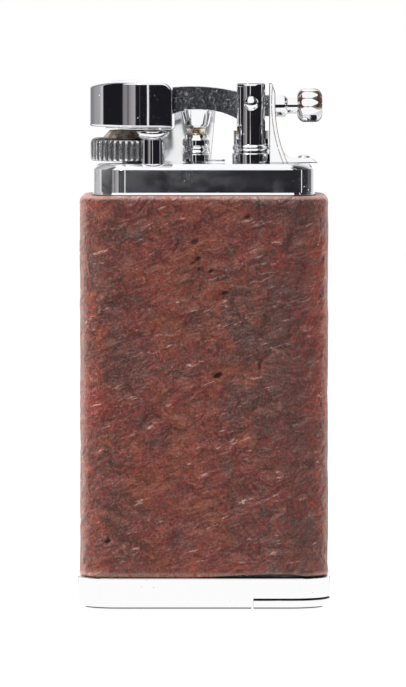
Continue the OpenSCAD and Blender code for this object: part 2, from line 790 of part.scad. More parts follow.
// Arched lever arm, with its pivot bore and the seats of the button and the shaft
module lift_arm() {
    color(dark_chrome) difference() {
        translate([0, arm_t / 2, 0]) rotate([90, 0, 0]) linear_extrude(arm_t) arm_outline();
        translate([pivot_x, 0, pivot_z]) rotate([90, 0, 0])
            cylinder(h = 2 * arm_t, d = pin_d + 2 * run_gap, center = true);
        pillar(-valve_x, 0, deck_z, arm_under_z + stud_l, stud_d + 2 * fit_gap);
    }
}

// Plan of the cap: a round left end and a straight face towards the arm
module cap_plan(inset_left, inset_side, inset_right) {
    r = head_d / 2 - inset_side;
    left = -cap_left + inset_left;
    right = -cap_right - inset_right;
    translate([left + r, 0]) intersection() {
        circle(r);
        translate([-2 * r, -2 * r]) square([2 * r, 4 * r]);
    }
    translate([left + r, -r]) square([right - left - r, 2 * r]);
}

// Snuffer cap, with a chamfered underside, a rounded shoulder and a recess over the burner
module snuffer_cap() {
    bevel = 0.35;
    top_edge = 0.3;
    r = head_d / 2;
    x0 = -cap_left + r;
    recess = 1.6;
    color(dark_chrome) difference() {
        union() {
            translate([x0, 0, 0]) rotate_extrude()
                polygon([[0, cap_z0], [r - bevel, cap_z0], [r, cap_z0 + bevel], [r, cap_z1 - top_edge],
                    [r - top_edge, cap_z1], [0, cap_z1]]);
            translate([x0, 0, 0]) rotate([90, 0, 90]) linear_extrude(-cap_right - x0)
                polygon([[r - bevel, cap_z0], [r, cap_z0 + bevel], [r, cap_z1 - top_edge],
                    [r - top_edge, cap_z1], [top_edge - r, cap_z1], [-r, cap_z1 - top_edge],
                    [-r, cap_z0 + bevel], [bevel - r, cap_z0]]);
        }
        translate([-cap_right, -head_d, cap_z0 - over]) cube([head_d, 2 * head_d, cap_h + 2 * over]);
        difference() {
            translate([-cap_right - cap_round, -head_d, cap_z1 - cap_round])
                cube([cap_round + over, 2 * head_d, cap_round + over]);
            translate([-cap_right - cap_round, head_d, cap_z1 - cap_round]) rotate([90, 0, 0])
                cylinder(h = 2 * head_d, r = cap_round);
        }
        pillar(-burner_x, -burner_y, cap_z0 - over, cap_z0 + recess, gas_bore + 2 * pad_hole_w);
    }
}

// Thin pad under the cap
module snuffer_pad() {
    color(chrome) difference() {
        translate([0, 0, pad_z0]) linear_extrude(pad_t) cap_plan(pad_left, pad_side, pad_right);
        pillar(-burner_x, -burner_y, pad_z0 - over, cap_z0 + over, gas_bore + 2 * pad_hole_w);
    }
}

// Domed button under the arm that holds the valve shut
module valve_button() {
    r = button_d / 2;
    saddle_t = 0.1;
    cheek_h = 0.6;
    color(chrome) translate([-valve_x, 0, 0]) {
        difference() {
            translate([0, 0, button_z]) sphere(r);
            translate([-button_d, -button_d, button_z]) cube(2 * button_d);
        }
        difference() {
            pillar(0, 0, button_z, arm_under_z + cheek_h, button_d);
            translate([-button_d, -arm_t / 2 - fit_gap, button_z + saddle_t])
                cube([2 * button_d, arm_t + 2 * fit_gap, button_d]);
        }
        pillar(0, 0, button_z, arm_under_z + stud_l, stud_d);
    }
}

// Shaft that carries the finger knob behind the pivot
module lever_shaft() {
    big_l = knob_x0 - neck_l - tail_x;
    color(chrome) translate([tail_x, 0, tail_z]) rotate([0, 90, 0]) {
        cylinder(h = big_l - taper_l, d = shaft_d);
        translate([0, 0, big_l - taper_l]) cylinder(h = taper_l, d1 = shaft_d, d2 = neck_d);
        translate([0, 0, big_l]) cylinder(h = neck_l, d = neck_d);
        translate([0, 0, big_l + neck_l]) cylinder(h = stud_l, d = stud_d);
    }
}

// Fluted barrel knob
module finger_knob() {
    r = knob_d / 2;
    color(chrome) translate([knob_x0, 0, tail_z]) rotate([0, 90, 0]) difference() {
        rotate_extrude() round_profile(r, 0, knob_l, knob_round, knob_round);
        for (i = [0 : knob_flutes - 1])
            rotate([0, 0, 360 * (i + 0.5) / knob_flutes])
                translate([r + flute_r - flute_depth, 0, -over])
                    cylinder(h = knob_l + 2 * over, r = flute_r);
        translate([0, 0, -over]) cylinder(h = over + stud_l + 0.2, d = stud_d + 2 * fit_gap);
    }
}

// Tube that guides the flint up to the striker
module flint_tube() {
    color(brass) tube(flint_x, flint_y, screw_recess + screw_head_t, flint_tube_z1, 2 * flint_tube_r,
        flint_d + 2 * run_gap);
}

// Flint
module flint() {
    color(steel) pillar(flint_x, flint_y, flint_z1 - flint_l, flint_z1, flint_d);
}

// Pusher between the spring and the flint
module flint_pusher() {
    color(brass) pillar(flint_x, flint_y, flint_z1 - flint_l - pusher_h, flint_z1 - flint_l, flint_d);
}

// Spring that feeds the flint
module flint_spring() {
    mean_r = (flint_d - flint_wire) / 2 - 0.1;
    color(steel) translate([flint_x, flint_y, 0])
        coil(mean_r, flint_wire, flint_turns, flint_screw_z1 + 0.02, flint_z1 - flint_l - pusher_h - 0.02);
}

// Slotted flint screw in the base
module flint_screw() {
    color(brass) difference() {
        union() {
            pillar(flint_x, flint_y, screw_recess, screw_recess + screw_head_t, flint_screw_head_d);
            pillar(flint_x, flint_y, screw_recess, flint_screw_z1, flint_d);
        }
        translate([flint_x - flint_screw_head_d, flint_y - screw_slot_w / 2, screw_recess - over])
            cube([2 * flint_screw_head_d, screw_slot_w, over + screw_slot_h]);
    }
}

// Head of the tamper: the parted end of the base, with a nail lip at its tip
module tamper_head() {
    lip_z = 0.5;
    lip_y = 5;
    lip_x = sleeve_w / 2 + base_flare - lip_w;
    color(chrome) {
        intersection() {
            base_form();
            translate([tamper_head_x0 + tamper_gap / 2, -sleeve_d, tamper_rest])
                cube([sleeve_w, 2 * sleeve_d, tamper_head_t]);
        }
        translate([lip_x, -lip_y / 2, tamper_rest + tamper_head_t - lip_z]) cube([lip_w, lip_y, lip_z]);
    }
}

// Tamper rod with a tapered tip
module tamper_rod() {
    color(chrome) translate([tamper_x, 0, tamper_rod_z0]) {
        cylinder(h = tamper_l - tamper_tip_l, d = tamper_d);
        translate([0, 0, tamper_l - tamper_tip_l]) cylinder(h = tamper_tip_l, d1 = tamper_d, d2 = tamper_d / 3);
    }
}

// Closed tube that the tamper slides in
module tamper_tube() {
    color(brass) difference() {
        pillar(tamper_x, 0, base_h, tamper_tube_z1 + tamper_tube_wall, tamper_tube_d());
        pillar(tamper_x, 0, base_h - over, tamper_tube_z1, tamper_d + 2 * run_gap);
    }
}

// Rubber ring that grips the tamper rod
module tamper_ring() {
    color(rubber) tube(tamper_x, 0, grip_z, grip_z + grip_h, tamper_d + 2 * grip_w - 2 * fit_gap,
        tamper_d + 2 * run_gap);
}

// Flanged filler valve in the base
module filler_body() {
    z0 = filler_recess;
    color(brass) difference() {
        union() {
            pillar(-filler_x, 0, z0, z0 + filler_flange_t, filler_d + 2 * (filler_flange_w - fit_gap));
            pillar(-filler_x, 0, z0, z0 + filler_h, filler_d);
        }
        pillar(-filler_x, 0, z0 - over, z0 + filler_h + over, filler_stem_d + 2 * run_gap);
        pillar(-filler_x, 0, z0 + filler_lip, z0 + filler_h - filler_lip, filler_stem_d + 2 * filler_ring_w);
    }
}

// Filler stem, pushed in by the refill nozzle
module filler_stem() {
    z0 = filler_recess;
    color(brass) difference() {
        union() {
            pillar(-filler_x, 0, z0 + 0.1, z0 + filler_h + 0.6, filler_stem_d);
            pillar(-filler_x, 0, z0 + filler_stop_z, z0 + filler_stop_z + filler_stop_t,
                filler_stem_d + 2 * filler_ring_w - 0.3);
        }
        pillar(-filler_x, 0, z0 - over, z0 + 1.2, filler_stem_d / 2);
    }
}

// Seal ring round the filler stem
module filler_ring() {
    z0 = filler_recess + filler_lip;
    color(rubber) tube(-filler_x, 0, z0, z0 + filler_ring_w, filler_stem_d + 2 * filler_ring_w - 2 * fit_gap,
        filler_stem_d + 2 * run_gap);
}

wood_sleeve();
base_plate();
fuel_tank();
head_plate();
head_gasket();
thumb_wheel();
striker();
wheel_axle();
burner_pillar();
burner_cup();
wind_guard();
valve_body();
flame_adjuster();
valve_stem();
valve_spring();
valve_ring();
pivot_post();
pivot_pin();
side_bracket();
bracket_screw();
lift_arm();
snuffer_cap();
snuffer_pad();
valve_button();
lever_shaft();
finger_knob();
flint_tube();
flint();
flint_pusher();
flint_spring();
flint_screw();
tamper_head();
tamper_rod();
tamper_tube();
tamper_ring();
filler_body();
filler_stem();
filler_ring();
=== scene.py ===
"""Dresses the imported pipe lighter: meshes, finishes, floor, light and camera.

Sizes are in millimetres and repeat those of part.scad. A mesh is scaled to metres when its piece is finished.
X runs towards the finger knob, Y to the back, Z up, and the origin is in the middle of the underside.
"""

from __future__ import annotations

import logging
import math
from collections.abc import Callable, Sequence
from dataclasses import dataclass
from enum import Enum

import bmesh
import bpy
import numpy as np
from mathutils import Matrix, Vector


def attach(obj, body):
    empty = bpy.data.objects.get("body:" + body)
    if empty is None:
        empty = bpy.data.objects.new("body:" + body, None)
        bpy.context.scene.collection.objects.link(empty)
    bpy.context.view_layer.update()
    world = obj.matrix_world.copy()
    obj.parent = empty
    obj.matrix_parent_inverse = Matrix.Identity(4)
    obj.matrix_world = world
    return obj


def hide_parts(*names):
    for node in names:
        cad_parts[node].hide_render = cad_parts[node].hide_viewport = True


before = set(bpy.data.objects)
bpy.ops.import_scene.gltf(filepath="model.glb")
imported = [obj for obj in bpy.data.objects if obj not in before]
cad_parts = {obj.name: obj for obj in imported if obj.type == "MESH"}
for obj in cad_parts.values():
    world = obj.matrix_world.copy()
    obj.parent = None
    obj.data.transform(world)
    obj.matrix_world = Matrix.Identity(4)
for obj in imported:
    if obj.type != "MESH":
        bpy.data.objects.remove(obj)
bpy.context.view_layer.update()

log = logging.getLogger("pipe_lighter")

MM = 0.001
# Top of the head plate, and floor of the holes in it that hold its turned pieces
DECK = 58.7
SOCKET = 56.2
# Middle of the hinge pin, in x and z
PIVOT = (6.2, 66.5)

Material = bpy.types.Material
Point = tuple[float, float]
Colour = tuple[float, float, float]
Spot = tuple[float, float, float]


def linear(red: int, green: int, blue: int) -> Colour:
    """Turn a colour as a screen shows it into the linear values that Blender mixes.

    Args:
        red: the red part, from 0 to 255.
        green: the green part.
        blue: the blue part.

    Returns:
        The linear colour.
    """

    def channel(value: int) -> float:
        """Turn one part of the colour."""
        share = value / 255
        return share / 12.92 if share <= 0.04045 else ((share + 0.055) / 1.055) ** 2.4

    return channel(red), channel(green), channel(blue)


class Body(Enum):
    """The moving bodies of the lighter."""

    CASE = "case"
    LEVER = "lever"
    WHEEL = "wheel"
    GAS_STEM = "gas_stem"
    ADJUSTER = "adjuster"
    TAMPER = "tamper"
    REFILL_STEM = "refill_stem"


class Axis(Enum):
    """The direction that a turned or extruded shape is laid along."""

    X = "x"
    Y = "y"
    Z = "z"


def joining(operation: str, reflected: bool = False) -> Callable[[Val, Val | float], Val]:
    """Make a method of Val that joins it with another value by one Math node.

    Args:
        operation: what the node does.
        reflected: whether the other value comes first, as in 1 - value.

    Returns:
        The method.
    """

    def method(self: Val, other: Val | float) -> Val:
        """Make the node that joins the two."""
        first, second = (other, self) if reflected else (self, other)
        return self.shop.node("ShaderNodeMath", {"operation": operation}, {0: first, 1: second})

    return method


class Val:
    """A socket of a material that works in Python expressions."""

    __add__ = joining("ADD")
    __radd__ = joining("ADD", reflected=True)
    __sub__ = joining("SUBTRACT")
    __rsub__ = joining("SUBTRACT", reflected=True)
    __mul__ = joining("MULTIPLY")
    __rmul__ = joining("MULTIPLY", reflected=True)
    __truediv__ = joining("DIVIDE")
    __pow__ = joining("POWER")
    highest = joining("MAXIMUM")
    angle_to = joining("ARCTAN2")
    folded = joining("PINGPONG")

    def __init__(self, shop: NodeShop, socket: bpy.types.NodeSocket) -> None:
        """Keep the socket and the shop that made it."""
        self.shop = shop
        self.socket = socket

    def __abs__(self) -> Val:
        """The value without its sign."""
        return self.shop.node("ShaderNodeMath", {"operation": "ABSOLUTE"}, {0: self})


class NodeShop:
    """Makes the nodes of one material or of the world."""

    def __init__(self, tree: bpy.types.NodeTree) -> None:
        """Empty the tree, so that every node in it is made here."""
        self.tree = tree
        tree.nodes.clear()

    def node(
        self,
        kind: str,
        settings: dict[str, object] | None = None,
        inputs: dict[int | str, object] | None = None,
        output: int | str = 0,
    ) -> Val:
        """Make one node.

        Args:
            kind: the node's type, such as ShaderNodeMath.
            settings: properties set before the sockets; stops is a ramp's list of places and colours.
            inputs: values or links, by socket name or number.
            output: the socket that is given back.

        Returns:
            The chosen output.
        """
        made = self.tree.nodes.new(kind)
        for name, value in (settings or {}).items():
            if name == "stops":
                self._fill_ramp(made.color_ramp, value)
            else:
                setattr(made, name, value)
        for key, value in (inputs or {}).items():
            socket = made.inputs[key]
            if isinstance(value, Val):
                self.tree.links.new(value.socket, socket)
            elif isinstance(value, tuple) and socket.type == "RGBA":
                socket.default_value = (*value, 1.0)
            else:
                socket.default_value = value
        return Val(self, made.outputs[output] if len(made.outputs) else None)

    @staticmethod
    def _fill_ramp(ramp: bpy.types.ColorRamp, stops: Sequence[tuple[float, Colour]]) -> None:
        """Give a ramp its stops.

        Args:
            ramp: the ramp.
            stops: its places and colours.
        """
        while len(ramp.elements) > 1:
            ramp.elements.remove(ramp.elements[-1])
        for index, (place, colour) in enumerate(stops):
            element = ramp.elements[0] if index == 0 else ramp.elements.new(place)
            element.position = place
            element.color = (*colour, 1.0)

    def place(self) -> Val:
        """The point on the surface, in object coordinates."""
        return self.node("ShaderNodeTexCoord", {}, {}, "Object")

    def attribute(self, name: str, output: str = "Fac") -> Val:
        """A number or a vector that the mesh carries at each point."""
        return self.node("ShaderNodeAttribute", {"attribute_name": name}, {}, output)

    def stretched(self, place: Val, scale: Spot, turn: Spot = (0, 0, 0)) -> Val:
        """The place, turned in degrees and scaled, for a pattern that runs one way."""
        radians = tuple(math.radians(part) for part in turn)
        return self.node("ShaderNodeMapping", {}, {"Vector": place, "Scale": scale, "Rotation": radians})

    def vector(self, operation: str, first: Val, second: Spot = (0, 0, 0), output: int | str = 0) -> Val:
        """Join two vectors with one Vector Math node."""
        return self.node("ShaderNodeVectorMath", {"operation": operation}, {0: first, 1: second}, output)

    def moved(self, place: Val, x: float, y: float, z: float) -> Val:
        """The place, so many millimetres further on."""
        return self.vector("ADD", place, (x * MM, y * MM, z * MM))

    def noise(self, place: Val, per_mm: float, detail: float = 3, rough: float = 0.5, warp: float = 0) -> Val:
        """Noise with so many waves for each millimetre, bent out of line by warp."""
        inputs = {"Vector": place, "Scale": per_mm / MM, "Detail": detail, "Roughness": rough}
        return self.node("ShaderNodeTexNoise", {}, {**inputs, "Distortion": warp}, "Fac")

    def cells(self, place: Val, per_mm: float) -> Val:
        """Distance to the nearest of so many scattered points for each millimetre."""
        return self.node("ShaderNodeTexVoronoi", {}, {"Vector": place, "Scale": per_mm / MM}, "Distance")

    def ramp(self, factor: Val, stops: Sequence[tuple[float, Colour]]) -> Val:
        """A colour that changes with a factor."""
        return self.node("ShaderNodeValToRGB", {"stops": stops}, {"Fac": factor})

    def between(self, value: Val, low: float, high: float) -> Val:
        """Zero at low, one at high, and a smooth change between them."""
        inputs = {"Value": value, "From Min": low, "From Max": high}
        return self.node("ShaderNodeMapRange", {"interpolation_type": "SMOOTHSTEP"}, inputs)

    def mix(self, first: Val | Colour, second: Val | Colour, factor: Val | float) -> Val:
        """Mix two colours."""
        return self.node("ShaderNodeMix", {"data_type": "RGBA"}, {0: factor, 6: first, 7: second}, 2)

    def blend(self, factor: Val, first: Val, second: Val) -> Val:
        """Mix two shaders."""
        return self.node("ShaderNodeMixShader", {}, {0: factor, 1: first, 2: second})

    def surface(
        self, colour: Val | Colour, roughness: Val | float, metallic: Val | float = 0.0, **more: Val | float
    ) -> Val:
        """A Principled shader; more of its sockets are named with underscores for spaces.

        Args:
            colour: the base colour.
            roughness: how rough it is, from 0 to 1.
            metallic: how metallic it is, from 0 to 1.
            more: more sockets and what goes into them.

        Returns:
            The shader.
        """
        inputs = {"Base Color": colour, "Roughness": roughness, "Metallic": metallic}
        for name, value in more.items():
            inputs[name.replace("_", " ").title().replace("Ior", "IOR")] = value
        return self.node("ShaderNodeBsdfPrincipled", {}, inputs)

    def glow(self, colour: Val | Colour, strength: float = 1.0) -> Val:
        """A surface that sends out light."""
        return self.node("ShaderNodeEmission", {}, {"Color": colour, "Strength": strength})

    def matt(self, level: float) -> Val:
        """A grey surface without gloss."""
        return self.node("ShaderNodeBsdfDiffuse", {}, {"Color": (level, level, level)})

    def ray(self, kind: str) -> Val:
        """One where the ray is of a kind, such as Glossy."""
        return self.node("ShaderNodeLightPath", {}, {}, f"Is {kind} Ray")

    def seen(self) -> Val:
        """One where the camera looks, straight or through something clear."""
        return self.ray("Camera").highest(self.ray("Transmission"))

    def part(self, vector: Val, name: str) -> Val:
        """One part of a vector, X, Y or Z."""
        return self.node("ShaderNodeSeparateXYZ", {}, {0: vector}, name)

    def radius(self, x: float) -> Val:
        """Distance in millimetres from an upright axis at x."""
        off = self.vector("SUBTRACT", self.place(), (x * MM, 0, 0))
        return self.vector("LENGTH", self.vector("MULTIPLY", off, (1, 1, 0)), output="Value") / MM

    def bump(self, height: Val, strength: float, depth_mm: float, under: Val | None = None) -> Val:
        """A normal from a height between zero and one.

        Args:
            height: the height, between zero and one.
            strength: how strongly it shows, from 0 to 1.
            depth_mm: how far a height of one stands out, in millimetres.
            under: a normal that it is laid on.

        Returns:
            The normal.
        """
        inputs = {"Strength": strength, "Distance": depth_mm * MM, "Height": height}
        if under is not None:
            inputs["Normal"] = under
        return self.node("ShaderNodeBump", {}, inputs)

    def close(self, shader: Val, end: str = "ShaderNodeOutputMaterial") -> None:
        """Link the last shader to the tree's output."""
        self.node(end, {}, {"Surface": shader})


class Finish:
    """A finish that gives each kind of piece its own material."""

    name = "finish"

    def material(self) -> Material:
        """Make the material.

        Returns:
            The material.
        """
        made = bpy.data.materials.new(self.name)
        made.use_nodes = True
        shop = NodeShop(made.node_tree)
        shop.close(self.shader(shop, shop.place()))
        return made

    def shader(self, shop: NodeShop, place: Val) -> Val:
        """Give the last shader; each finish has its own."""
        raise NotImplementedError


@dataclass(frozen=True)
class PolishedChrome(Finish):
    """Bright plating with faint waves, hairlines and a few specks of dust."""

    name: str = "polished_chrome"
    tint: Colour = (0.94, 0.945, 0.955)
    roughness: float = 0.035
    haze_and_light_strength: float = 0.0
    metal: float = 1.0
    dust: float = 0.5
    scratch_turn: float = 15.0

    def shader(self, shop: NodeShop, place: Val) -> Val:
        """Metal whose gloss changes a little from place to place.

        Args:
            shop: the node shop of the material.
            place: where the shaded point lies on the piece.

        Returns:
            The shader.
        """
        gloss = shop.noise(place, 0.25, 3)
        hair = shop.noise(shop.stretched(place, (1.0, 1.0, 14.0), (0, self.scratch_turn, 0)), 2.2, 4, 0.7)
        hairline = shop.between(hair, 0.66, 0.72)
        speck = 1 - shop.between(shop.cells(place, 0.75), 0.06, 0.1)
        fine = 1 - shop.between(shop.cells(place, 1.9), 0.07, 0.12)
        speck = speck.highest(fine * 0.45) * shop.between(shop.noise(place, 0.33, 1), 0.48, 0.54) * self.dust
        colour = shop.mix(self.tint, linear(214, 214, 216), speck)
        roughness = gloss * 0.03 + self.roughness + hairline * 0.05 + speck * 0.5
        wave = shop.bump(shop.noise(place, 0.12, 2), 0.25, 0.05)
        normal = shop.bump(hairline, 0.04, 0.01, wave)
        # Partly haze and partly painted light: a cloud of less metal that grows towards minus X, so the
        # plating shows lighter on its left.
        cloud = shop.noise(place, 0.3, 5, 0.7) - shop.part(place, "X") / MM * 0.008
        painted_light_and_haze = (shop.between(cloud, 0.4, 0.68) + 0.16) * self.haze_and_light_strength
        metallic = self.metal - painted_light_and_haze - speck * self.metal * 0.8
        return shop.surface(colour, roughness, metallic, normal=normal)


@dataclass(frozen=True)
class TarnishedChrome(PolishedChrome):
    """Plating with brown tarnish in the corners between the knob's flats."""

    x: float = 0.0
    z: float = 0.0
    pitch: float = 30.0
    turn: float = 0.0

    def shader(self, shop: NodeShop, place: Val) -> Val:
        """Plain plating mixed with tarnish that widens towards the knob's ends.

        Args:
            shop: the node shop of the material.
            place: where the shaded point lies on the piece.

        Returns:
            The shader.
        """
        x, y, z = (shop.part(place, name) / MM for name in "XYZ")
        angle = (z - self.z).angle_to(y) * (360 / math.tau) + 360 - self.turn
        wide = shop.between(x - self.x, 0.1, 1.35) * 12 + shop.between(x - self.x, -0.6, -1.4) * 8 + 1.2
        ragged = shop.noise(place, 3.0, 3, 0.6)
        tarnish_and_painted_shade = shop.between(angle.folded(self.pitch / 2) - wide - (ragged - 0.5) * 4, 0.9, -0.9)
        tarnish_and_painted_shade = tarnish_and_painted_shade * (shop.between(z - self.z, -1.0, 0.2) * 0.75 + 0.25)
        brown = shop.mix(linear(34, 24, 21), linear(98, 62, 44), ragged)
        tarnish_and_painted_shade_surface = shop.surface(brown, 0.4, 0.2)
        return shop.blend(tarnish_and_painted_shade, super().shader(shop, place), tarnish_and_painted_shade_surface)


@dataclass(frozen=True)
class LinedChrome(PolishedChrome):
    """Plating with a thin brown line of painted shade along the bracket's swept edge and another inside it.
    """

    x: float = 0.0
    z: float = 0.0
    sweep: float = 20.0
    inside: float = 0.5

    def shader(self, shop: NodeShop, place: Val) -> Val:
        """Plain plating mixed with the lines of painted shade; the distance is taken from the middle of the
        sweep.

        Args:
            shop: the node shop of the material.
            place: where the shaded point lies on the piece.

        Returns:
            The shader.
        """
        x, z = shop.part(place, "X") / MM - self.x, shop.part(place, "Z") / MM - self.z
        reach = (x * x + z * z) ** 0.5 - self.sweep
        ragged = shop.noise(place, 2.5, 3, 0.6)
        # Painted shade: a line half a millimetre inside the swept edge.
        line = abs(reach - self.inside) + (ragged - 0.5) * 0.1
        tarnish_and_painted_shade = shop.between(line, 0.1, 0.03) * shop.between(ragged, 0.35, 0.5)
        # Painted shade along the swept edge itself.
        rim = shop.between(abs(reach), 0.12, 0.02)
        brown = shop.mix(linear(120, 100, 88), linear(170, 160, 152), ragged)
        tarnish_and_painted_shade_surface = shop.surface(brown, 0.4, 0.2)
        return shop.blend(tarnish_and_painted_shade.highest(rim * 0.7), super().shader(shop, place), tarnish_and_painted_shade_surface)


@dataclass(frozen=True)
class SatinSteel(Finish):
    """Blasted steel with a fine speckle, for the arched arm."""

    name: str = "satin_steel"
    tint: Colour = (0.6, 0.62, 0.66)
    roughness: float = 0.06

    def shader(self, shop: NodeShop, place: Val) -> Val:
        """Metal with a speckle of small bright and dark points.

        Args:
            shop: the node shop of the material.
            place: where the shaded point lies on the piece.

        Returns:
            The shader.
        """
        speckle = shop.noise(place, 3.4, 3, 0.7)
        cloud = shop.noise(place, 0.4, 3)
        bright = shop.between(speckle, 0.55, 0.66)
        # Painted light: less metal towards plus X, so the arm shows lighter near the post.
        painted_side_light = shop.between(shop.part(place, "X") / MM, 1.0, 4.6)
        colour = shop.mix(self.tint, (0.86, 0.86, 0.88), bright * 0.8)
        roughness = self.roughness + speckle * 0.1 + cloud * 0.05
        metallic = 1 - bright * 0.26 - shop.between(cloud, 0.5, 0.7) * 0.03 - painted_side_light * 0.07
        normal = shop.bump(speckle, 0.12, 0.02)
        return shop.surface(colour, roughness, metallic, normal=normal)


@dataclass(frozen=True)
class StrikerSteel(Finish):
    """Hardened steel, matt and browned by the flint, with the turning marks of its cone."""

    name: str = "striker_steel"

    def shader(self, shop: NodeShop, place: Val) -> Val:
        """Dark metal with rings round its axis and rusty clouds.

        Args:
            shop: the node shop of the material.
            place: where the shaded point lies on the piece.

        Returns:
            The shader.
        """
        rings = shop.noise(shop.stretched(place, (0.6, 0.6, 9.0)), 1.4, 3)
        soot = shop.noise(place, 0.9, 4, 0.6)
        colour = shop.mix(linear(196, 184, 170), linear(112, 97, 84), shop.between(soot, 0.4, 0.62))
        colour = shop.mix(colour, linear(225, 218, 210), shop.between(rings, 0.52, 0.7) * 0.6)
        normal = shop.bump(rings, 0.3, 0.03, shop.bump(soot, 0.3, 0.02))
        return shop.surface(colour, 0.4 + soot * 0.2, 0.45, normal=normal)


@dataclass(frozen=True)
class KnurledChrome(Finish):
    """Plating that is worn dull on the ridges, with soot down in the grooves."""

    name: str = "knurled_chrome"
    x: float = 0.0
    low: float = 4.5
    high: float = 4.72

    def shader(self, shop: NodeShop, place: Val) -> Val:
        """Ridges and grooves are told apart by their distance from the wheel's axis.

        Args:
            shop: the node shop of the material.
            place: where the shaded point lies on the piece.

        Returns:
            The shader.
        """
        ridge = shop.between(shop.radius(self.x), self.low, self.high)
        mottle = shop.noise(place, 2.6, 4, 0.62)
        colour = shop.mix(linear(96, 94, 90), (0.9, 0.9, 0.92), ridge)
        colour = shop.mix(colour, linear(120, 118, 112), shop.between(mottle, 0.5, 0.72) * 0.7)
        normal = shop.bump(mottle, 0.35, 0.03)
        return shop.surface(colour, 0.12 + mottle * 0.25, 0.95, normal=normal)


@dataclass(frozen=True)
class TurnedBrass(Finish):
    """Brass with fine turning marks and a darker bloom."""

    name: str = "turned_brass"

    def shader(self, shop: NodeShop, place: Val) -> Val:
        """Warm metal with lines round its height.

        Args:
            shop: the node shop of the material.
            place: where the shaded point lies on the piece.

        Returns:
            The shader.
        """
        lines = shop.noise(shop.stretched(place, (0.4, 0.4, 12.0)), 1.6, 3)
        bloom = shop.noise(place, 0.7, 4)
        colour = shop.mix((0.83, 0.62, 0.28), (0.46, 0.27, 0.10), shop.between(bloom, 0.42, 0.72) * 0.8)
        normal = shop.bump(lines, 0.25, 0.02)
        return shop.surface(colour, 0.18 + bloom * 0.2, 1.0, normal=normal)


@dataclass(frozen=True)
class BlackRubber(Finish):
    """Soft rubber with a fine moulded grain."""

    name: str = "black_rubber"

    def shader(self, shop: NodeShop, place: Val) -> Val:
        """Nearly black, with a pale bloom in patches.

        Args:
            shop: the node shop of the material.
            place: where the shaded point lies on the piece.

        Returns:
            The shader.
        """
        grain = shop.noise(place, 5.0, 3)
        bloom = shop.noise(place, 0.6, 3)
        colour = shop.mix(linear(26, 26, 27), linear(58, 58, 60), shop.between(bloom, 0.5, 0.75) * 0.6)
        normal = shop.bump(grain, 0.3, 0.02)
        return shop.surface(colour, 0.55 + grain * 0.25, normal=normal)


@dataclass(frozen=True)
class FlintMetal(Finish):
    """The flint's dull alloy, pitted and dusty."""

    name: str = "flint_metal"

    def shader(self, shop: NodeShop, place: Val) -> Val:
        """Grey metal with pits.

        Args:
            shop: the node shop of the material.
            place: where the shaded point lies on the piece.

        Returns:
            The shader.
        """
        pits = shop.between(shop.cells(place, 2.4), 0.1, 0.35)
        dust = shop.noise(place, 1.2, 4)
        colour = shop.mix(linear(70, 66, 62), linear(132, 128, 122), dust)
        normal = shop.bump(pits, 0.4, 0.05)
        return shop.surface(colour, 0.5 + dust * 0.2, 0.6, normal=normal)


@dataclass(frozen=True)
class DrawnMetal(Finish):
    """Metal drawn through a die, with long fine lines: the tank, the springs and the valve's stem."""

    name: str = "drawn_metal"
    tint: Colour = (0.66, 0.67, 0.69)
    roughness: float = 0.25
    stretch: Spot = (6.0, 6.0, 0.3)

    def shader(self, shop: NodeShop, place: Val) -> Val:
        """Metal with lines along its length.

        Args:
            shop: the node shop of the material.
            place: where the shaded point lies on the piece.

        Returns:
            The shader.
        """
        lines = shop.noise(shop.stretched(place, self.stretch), 1.2, 4, 0.6)
        cloud = shop.noise(place, 0.3, 3)
        colour = shop.mix(self.tint, (0.42, 0.42, 0.43), shop.between(cloud, 0.45, 0.75) * 0.5)
        roughness = self.roughness + lines * 0.15
        normal = shop.bump(lines, 0.2, 0.02)
        return shop.surface(colour, roughness, 1.0, normal=normal)


